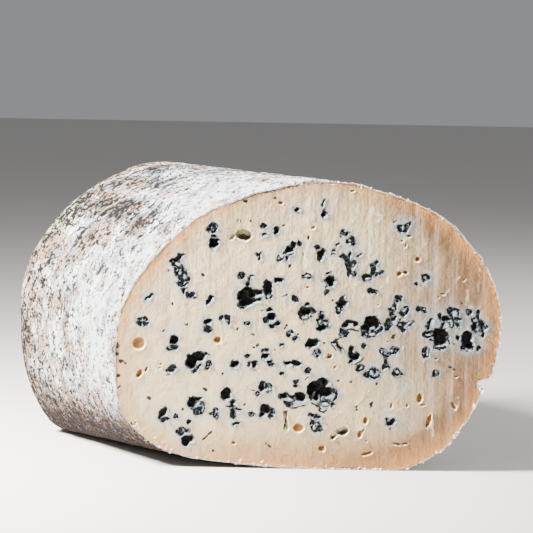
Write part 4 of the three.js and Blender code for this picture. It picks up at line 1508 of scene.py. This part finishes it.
class CHEESE_OT_cut_face(Operator):
    """Models the cut paste with its holes, mould and wire marks"""

    bl_idname = "cheese.cut_face"
    bl_label = "Cut face"
    bl_options = {"REGISTER", "UNDO"}

    def execute(self, context):
        sizes = context.scene.cheese_sizes
        drum = Drum(sizes)
        piece = face_grid(drum, sizes)
        trim_face(piece, drum)
        carve(piece, drum, sizes)
        back_face(piece, drum, sizes)
        map_face(piece, drum, sizes)
        only_selected(piece)
        bpy.ops.object.shade_smooth_by_angle(angle=math.radians(60))
        piece.data.materials.append(paste_finish(context.scene.cheese_colours))
        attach(piece, "root")
        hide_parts(CHEESE)
        return {"FINISHED"}


# ---- crumbs ----

# Tufts and crumbs that stand on the cut's edge or lie at its foot: across, up, half length, half width, tilt.
TUFTS = [
    (24, 118.1, 1, 0.4, 60), (39.3, 113, 0.9, 0.4, 75), (19.8, 118.6, 0.8, 0.4, 10),
    (36, 113.6, 1.4, 0.4, -30), (32, 115.2, 1.2, 0.4, -25), (8, 118.4, 1.4, 0.35, 0),
    (2, 118.6, 1, 0.35, 8), (79.2, 68.2, 1.3, 0.5, 20), (78.7, 65, 0.7, 0.5, 80), (79.5, 54, 1, 0.6, 70),
    (79.1, 51, 0.7, 0.5, 30), (78.7, 48.2, 1, 0.5, -40), (78, 45, 0.7, 0.5, 60), (69.8, 37.2, 1, 0.6, 100),
    (70, 35.8, 1, 0.7, 80), (71.5, 34, 1.2, 0.7, -50), (72.2, 33, 0.9, 0.6, 10), (72.4, 38.4, 1, 0.4, 20),
    (61.5, 16, 0.8, 0.5, 60), (60, 14.5, 0.8, 0.5, 40), (58.8, 12, 1, 0.5, 55), (56, 9, 0.9, 0.6, 30),
    (55, 8.3, 0.7, 0.5, 80), (41.5, 0.9, 0.9, 0.5, 0), (28, 1, 0.9, 0.5, 20), (23, 0.8, 1, 0.4, -20),
    (21, 1.2, 0.9, 0.5, 30), (14, 0.8, 1.6, 0.4, 0), (7.5, 1.6, 0.9, 0.4, 70), (3, 1, 0.8, 0.5, 10),
    (-3, 1.2, 0.8, 0.5, 40), (-10, 1.8, 0.9, 0.5, 0), (-17, 2, 0.8, 0.5, 60), (-19, 3.4, 0.7, 0.5, 20),
    (-23, 2.4, 1, 0.5, 0), (-28, 3.8, 0.8, 0.5, 50), (-60.4, 10.6, 0.7, 0.5, -40),
    (-61.6, 11.6, 0.6, 0.4, 20), (-63.4, 12.6, 0.6, 0.4, 30), (-62.4, 10.8, 0.5, 0.3, 0),
    (-58.6, 9.2, 0.5, 0.3, -30), (-56.4, 7.6, 0.5, 0.4, 10), (-72.4, 18.6, 0.7, 0.3, -50),
    (-71, 18.2, 0.5, 0.4, 30), (-70.4, 16.6, 0.5, 0.3, 60), (-69.6, 15.2, 0.7, 0.4, -60),
    (-68, 15.8, 0.4, 0.3, 0),
]

# The lumps of a tuft: place along it, from -1 to 1, and size.
TUFT_LUMPS = ((0, 1), (-0.9, 0.7), (-0.4, 0.6), (0.5, 0.7), (1, 0.5))

# A stray thread: degrees round the drum, back from the cut, half length, half width, tilt.
FIBRE = (108, 104, 2, 0.16, 50)

BEADS = 400  # small crumbs all along the cut's right edge and foot, and a few along its top
# Degrees round the drum from its right side, from and to, and the share of the beads that lie between them.
BEAD_STRETCHES = ((-52, 28, 0.5), (-142, -52, 0.375), (28, 95, 0.125))

CRUMB_SEED = 23


def crumb_shape():
    """A lump a millimetre in radius, which all crumbs are copied from."""
    bpy.ops.object.select_all(action="DESELECT")
    bpy.ops.mesh.primitive_ico_sphere_add(subdivisions=1, radius=1 / METRE)
    return named("crumbs")


def tuft_place(drum, across, up, half_width):
    """A tuft's place on the face, drawn in to the outline if it would float outside."""
    across, up = across * math.cos(drum.angle), up - drum.axis_height
    angle = math.atan2(up, across)
    radius = min(math.hypot(across, up), drum.radius(drum.near, angle) + 0.1)
    across = radius * math.cos(angle) / math.cos(drum.angle)
    height = max(drum.axis_height + radius * math.sin(angle), 0.6 * half_width)
    return np.array((across + drum.middle_x, drum.cut_y + 0.1, height))


def edge_places(drum, chance):
    """Random places on the cut's edge: most on the right, some at the foot and the top."""
    places = [chance.uniform(start, stop, round(BEADS * share)) for start, stop, share in BEAD_STRETCHES]
    angle = np.radians(np.concatenate(places))
    radius = drum.radius(drum.near, angle) + chance.uniform(-0.9, 0.05, len(angle))
    across = radius * np.cos(angle)
    along = drum.cut_along(across) + chance.uniform(-0.3, 1.2, len(angle))
    return drum.place(across, along, np.maximum(drum.axis_height + radius * np.sin(angle), 0.4))


def copy_crumb(shape, place, half_length, half_width, tilt, chance):
    """One crumb: a copy of the shape, dented, stretched, turned and put in its place."""
    crumb = shape.copy()
    crumb.data = shape.data.copy()
    dents = chance.uniform(0.5, 1.25, (len(crumb.data.vertices), 1))
    write_points(crumb.data, read_points(crumb.data) * dents)
    crumb.location = place / METRE
    crumb.rotation_euler = (chance.uniform(-0.4, 0.4), -tilt, chance.uniform(-0.4, 0.4))
    crumb.scale = (half_length, half_width, half_width)
    bpy.context.collection.objects.link(crumb)


def set_tuft(shape, drum, row, chance):
    """A tuft: one long lump with a few small ones stuck to it."""
    across, up, half_length, half_width, tilt = row
    tilt = math.radians(tilt)
    for step, size in TUFT_LUMPS:
        along = step * half_length
        aside = chance.uniform(-0.5, 0.5) * half_width
        here = across + DATUM[0] + along * math.cos(tilt) - aside * math.sin(tilt)
        over = up + DATUM[1] + along * math.sin(tilt) + aside * math.cos(tilt)
        place = tuft_place(drum, here, over, half_width * size)
        turn = tilt + chance.uniform(-0.9, 0.9)
        long_side = 0.7 * half_length if step == 0 else half_width
        copy_crumb(shape, place, long_side * size, 0.8 * half_width * size, turn, chance)


def set_bead(shape, place, chance):
    """A small crumb: many are tiny and few are large."""
    half_width = 0.16 + 0.4 * chance.random() ** 3
    half_length = half_width * chance.uniform(1, 2.2)
    copy_crumb(shape, place, half_length, half_width, chance.uniform(0, math.pi), chance)


def set_fibre(shape, drum, chance):
    """The stray thread on top of the rind."""
    degrees, back, half_length, half_width, tilt = FIBRE
    angle = np.radians([float(degrees)])
    radius = drum.radius(drum.near, angle)
    across = radius * np.cos(angle)
    up = drum.axis_height + radius * np.sin(angle) + half_length * 0.6
    place = drum.place(across, drum.cut_along(across) + back, up)[0]
    copy_crumb(shape, place, half_length, half_width, math.radians(tilt), chance)


def join_crumbs(shape):
    """Joins all the copies to the shape, takes its own lump away, and lets nothing sink below the table."""
    mesh = shape.data
    bpy.ops.object.select_all(action="DESELECT")
    for piece in bpy.context.scene.objects:
        piece.select_set(piece.name.startswith(shape.name))
    bpy.context.view_layer.objects.active = shape
    own_faces = len(mesh.polygons)
    bpy.ops.object.join()
    with editing(shape, "polygons", np.arange(len(mesh.polygons)) < own_faces):
        bpy.ops.mesh.delete(type="FACE")
    points = read_points(mesh)
    points[:, 2] = np.maximum(points[:, 2], 0)
    write_points(mesh, points)


class CHEESE_OT_crumbs(Operator):
    """Sets crumbs and tufts of bloom along the edge of the cut"""

    bl_idname = "cheese.crumbs"
    bl_label = "Crumbs and tufts"
    bl_options = {"REGISTER", "UNDO"}

    def execute(self, context):
        drum = Drum(context.scene.cheese_sizes)
        chance = np.random.default_rng(CRUMB_SEED)
        piece = crumb_shape()
        for row in TUFTS:
            set_tuft(piece, drum, row, chance)
        for place in edge_places(drum, chance):
            set_bead(piece, place, chance)
        set_fibre(piece, drum, chance)
        join_crumbs(piece)
        only_selected(piece)
        bpy.ops.object.shade_smooth()
        piece.data.materials.append(crumb_finish(context.scene.cheese_colours))
        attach(piece, "root")
        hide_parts(CHEESE)
        return {"FINISHED"}


# ---- stage ----

CAMERA_PLACE = (0.00585, -1.05394, 0.1771)  # metres
CAMERA_PITCH = 5.4386  # degrees below the horizon
CAMERA_ROLL = 1.0  # degrees, against the clock as the camera sees it
SENSOR = 36.0  # millimetres wide
SKY_COLOUR = (0.93, 0.95, 1, 1)

# Soft square lights: name, place, the point it faces and its width in metres, the setting that holds its
# watts, and tint.
LIGHTS = [
    ("Key", (-0.3, -0.128, 0.33), (0, -0.03, 0.05), 0.12, "key_power", (1, 0.985, 0.96)),
    ("Fill", (-0.6, -1.2, 0.6), (0, 0, 0.05), 0.8, "fill_power", (1, 0.97, 0.94)),
    ("Rim", (0.7, 0.35, 0.5), (0.05, 0, 0.06), 0.4, "rim_power", (1, 0.98, 0.95)),
]


def add_floor(stage):
    """The plain floor that the cheese lies on."""
    bpy.ops.object.select_all(action="DESELECT")
    bpy.ops.mesh.primitive_plane_add(size=stage.floor_size)
    floor = named("floor")
    finish = Finish("Floor")
    finish.surface(Base_Color=tuple(stage.floor_colour), Roughness=0.8, Specular_IOR_Level=0.2)
    floor.data.materials.append(finish.material)


def add_light(name, place, aim, size, power, tint):
    """A soft square light that faces a point."""
    bpy.ops.object.select_all(action="DESELECT")
    bpy.ops.object.light_add(type="AREA", location=place)
    light = bpy.context.object
    light.name = name
    light.data.size = size
    light.data.energy = power
    light.data.color = tint
    way = np.array(aim) - np.array(place)
    flat = math.hypot(way[0], way[1])
    light.rotation_euler = (math.atan2(flat, -way[2]), 0, math.atan2(-way[0], way[1]))


def add_sky(scene, strength):
    """Even light from all round."""
    world = bpy.data.worlds.new("Sky")
    world.use_nodes = True
    background = world.node_tree.nodes["Background"]
    background.inputs["Color"].default_value = SKY_COLOUR
    background.inputs["Strength"].default_value = strength
    scene.world = world


def add_camera(scene, focal_length):
    """The camera in front of the cut."""
    turn = (math.radians(90 - CAMERA_PITCH), 0, 0)
    bpy.ops.object.camera_add(location=CAMERA_PLACE, rotation=turn)
    camera = bpy.context.object
    camera.name = "Camera"
    camera.rotation_euler.rotate_axis("Z", math.radians(CAMERA_ROLL))
    camera.data.lens = focal_length
    camera.data.sensor_width = SENSOR
    scene.camera = camera


class CHEESE_OT_stage(Operator):
    """Adds a plain floor, soft lights and the camera"""

    bl_idname = "cheese.stage"
    bl_label = "Stage"
    bl_options = {"REGISTER", "UNDO"}

    def execute(self, context):
        stage = context.scene.cheese_stage
        add_floor(stage)
        for name, place, aim, size, setting, tint in LIGHTS:
            add_light(name, place, aim, size, getattr(stage, setting), tint)
        add_sky(context.scene, stage.sky)
        add_camera(context.scene, stage.focal_length)
        return {"FINISHED"}


class CHEESE_PT_sidebar(Panel):
    """Lists the cheese's pieces, sizes and colours."""

    bl_idname = "CHEESE_PT_sidebar"
    bl_label = "Blue Cheese"
    bl_space_type = "VIEW_3D"
    bl_region_type = "UI"
    bl_category = "Cheese"

    def draw(self, context):
        column = self.layout.column()
        for operator in OPERATORS:
            column.operator(operator.bl_idname)
        for group in (context.scene.cheese_sizes, context.scene.cheese_colours, context.scene.cheese_stage):
            box = self.layout.box()
            for name in group.__annotations__:
                box.prop(group, name)


OPERATORS = (CHEESE_OT_rind, CHEESE_OT_cut_face, CHEESE_OT_crumbs, CHEESE_OT_stage)
CLASSES = (CheeseSizes, CheeseColours, StageSettings, *OPERATORS, CHEESE_PT_sidebar)


def register():
    """Registers the classes and puts their settings on the scene."""
    for cls in CLASSES:
        bpy.utils.register_class(cls)
    bpy.types.Scene.cheese_sizes = PointerProperty(type=CheeseSizes)
    bpy.types.Scene.cheese_colours = PointerProperty(type=CheeseColours)
    bpy.types.Scene.cheese_stage = PointerProperty(type=StageSettings)


def unregister():
    """Takes everything away again."""
    del bpy.types.Scene.cheese_stage
    del bpy.types.Scene.cheese_colours
    del bpy.types.Scene.cheese_sizes
    for cls in reversed(CLASSES):
        bpy.utils.unregister_class(cls)


def main():
    """Builds the cheese and its stage."""
    register()
    bpy.ops.cheese.rind()
    bpy.ops.cheese.cut_face()
    bpy.ops.cheese.crumbs()
    bpy.ops.cheese.stage()


if __name__ == "__main__":
    main()
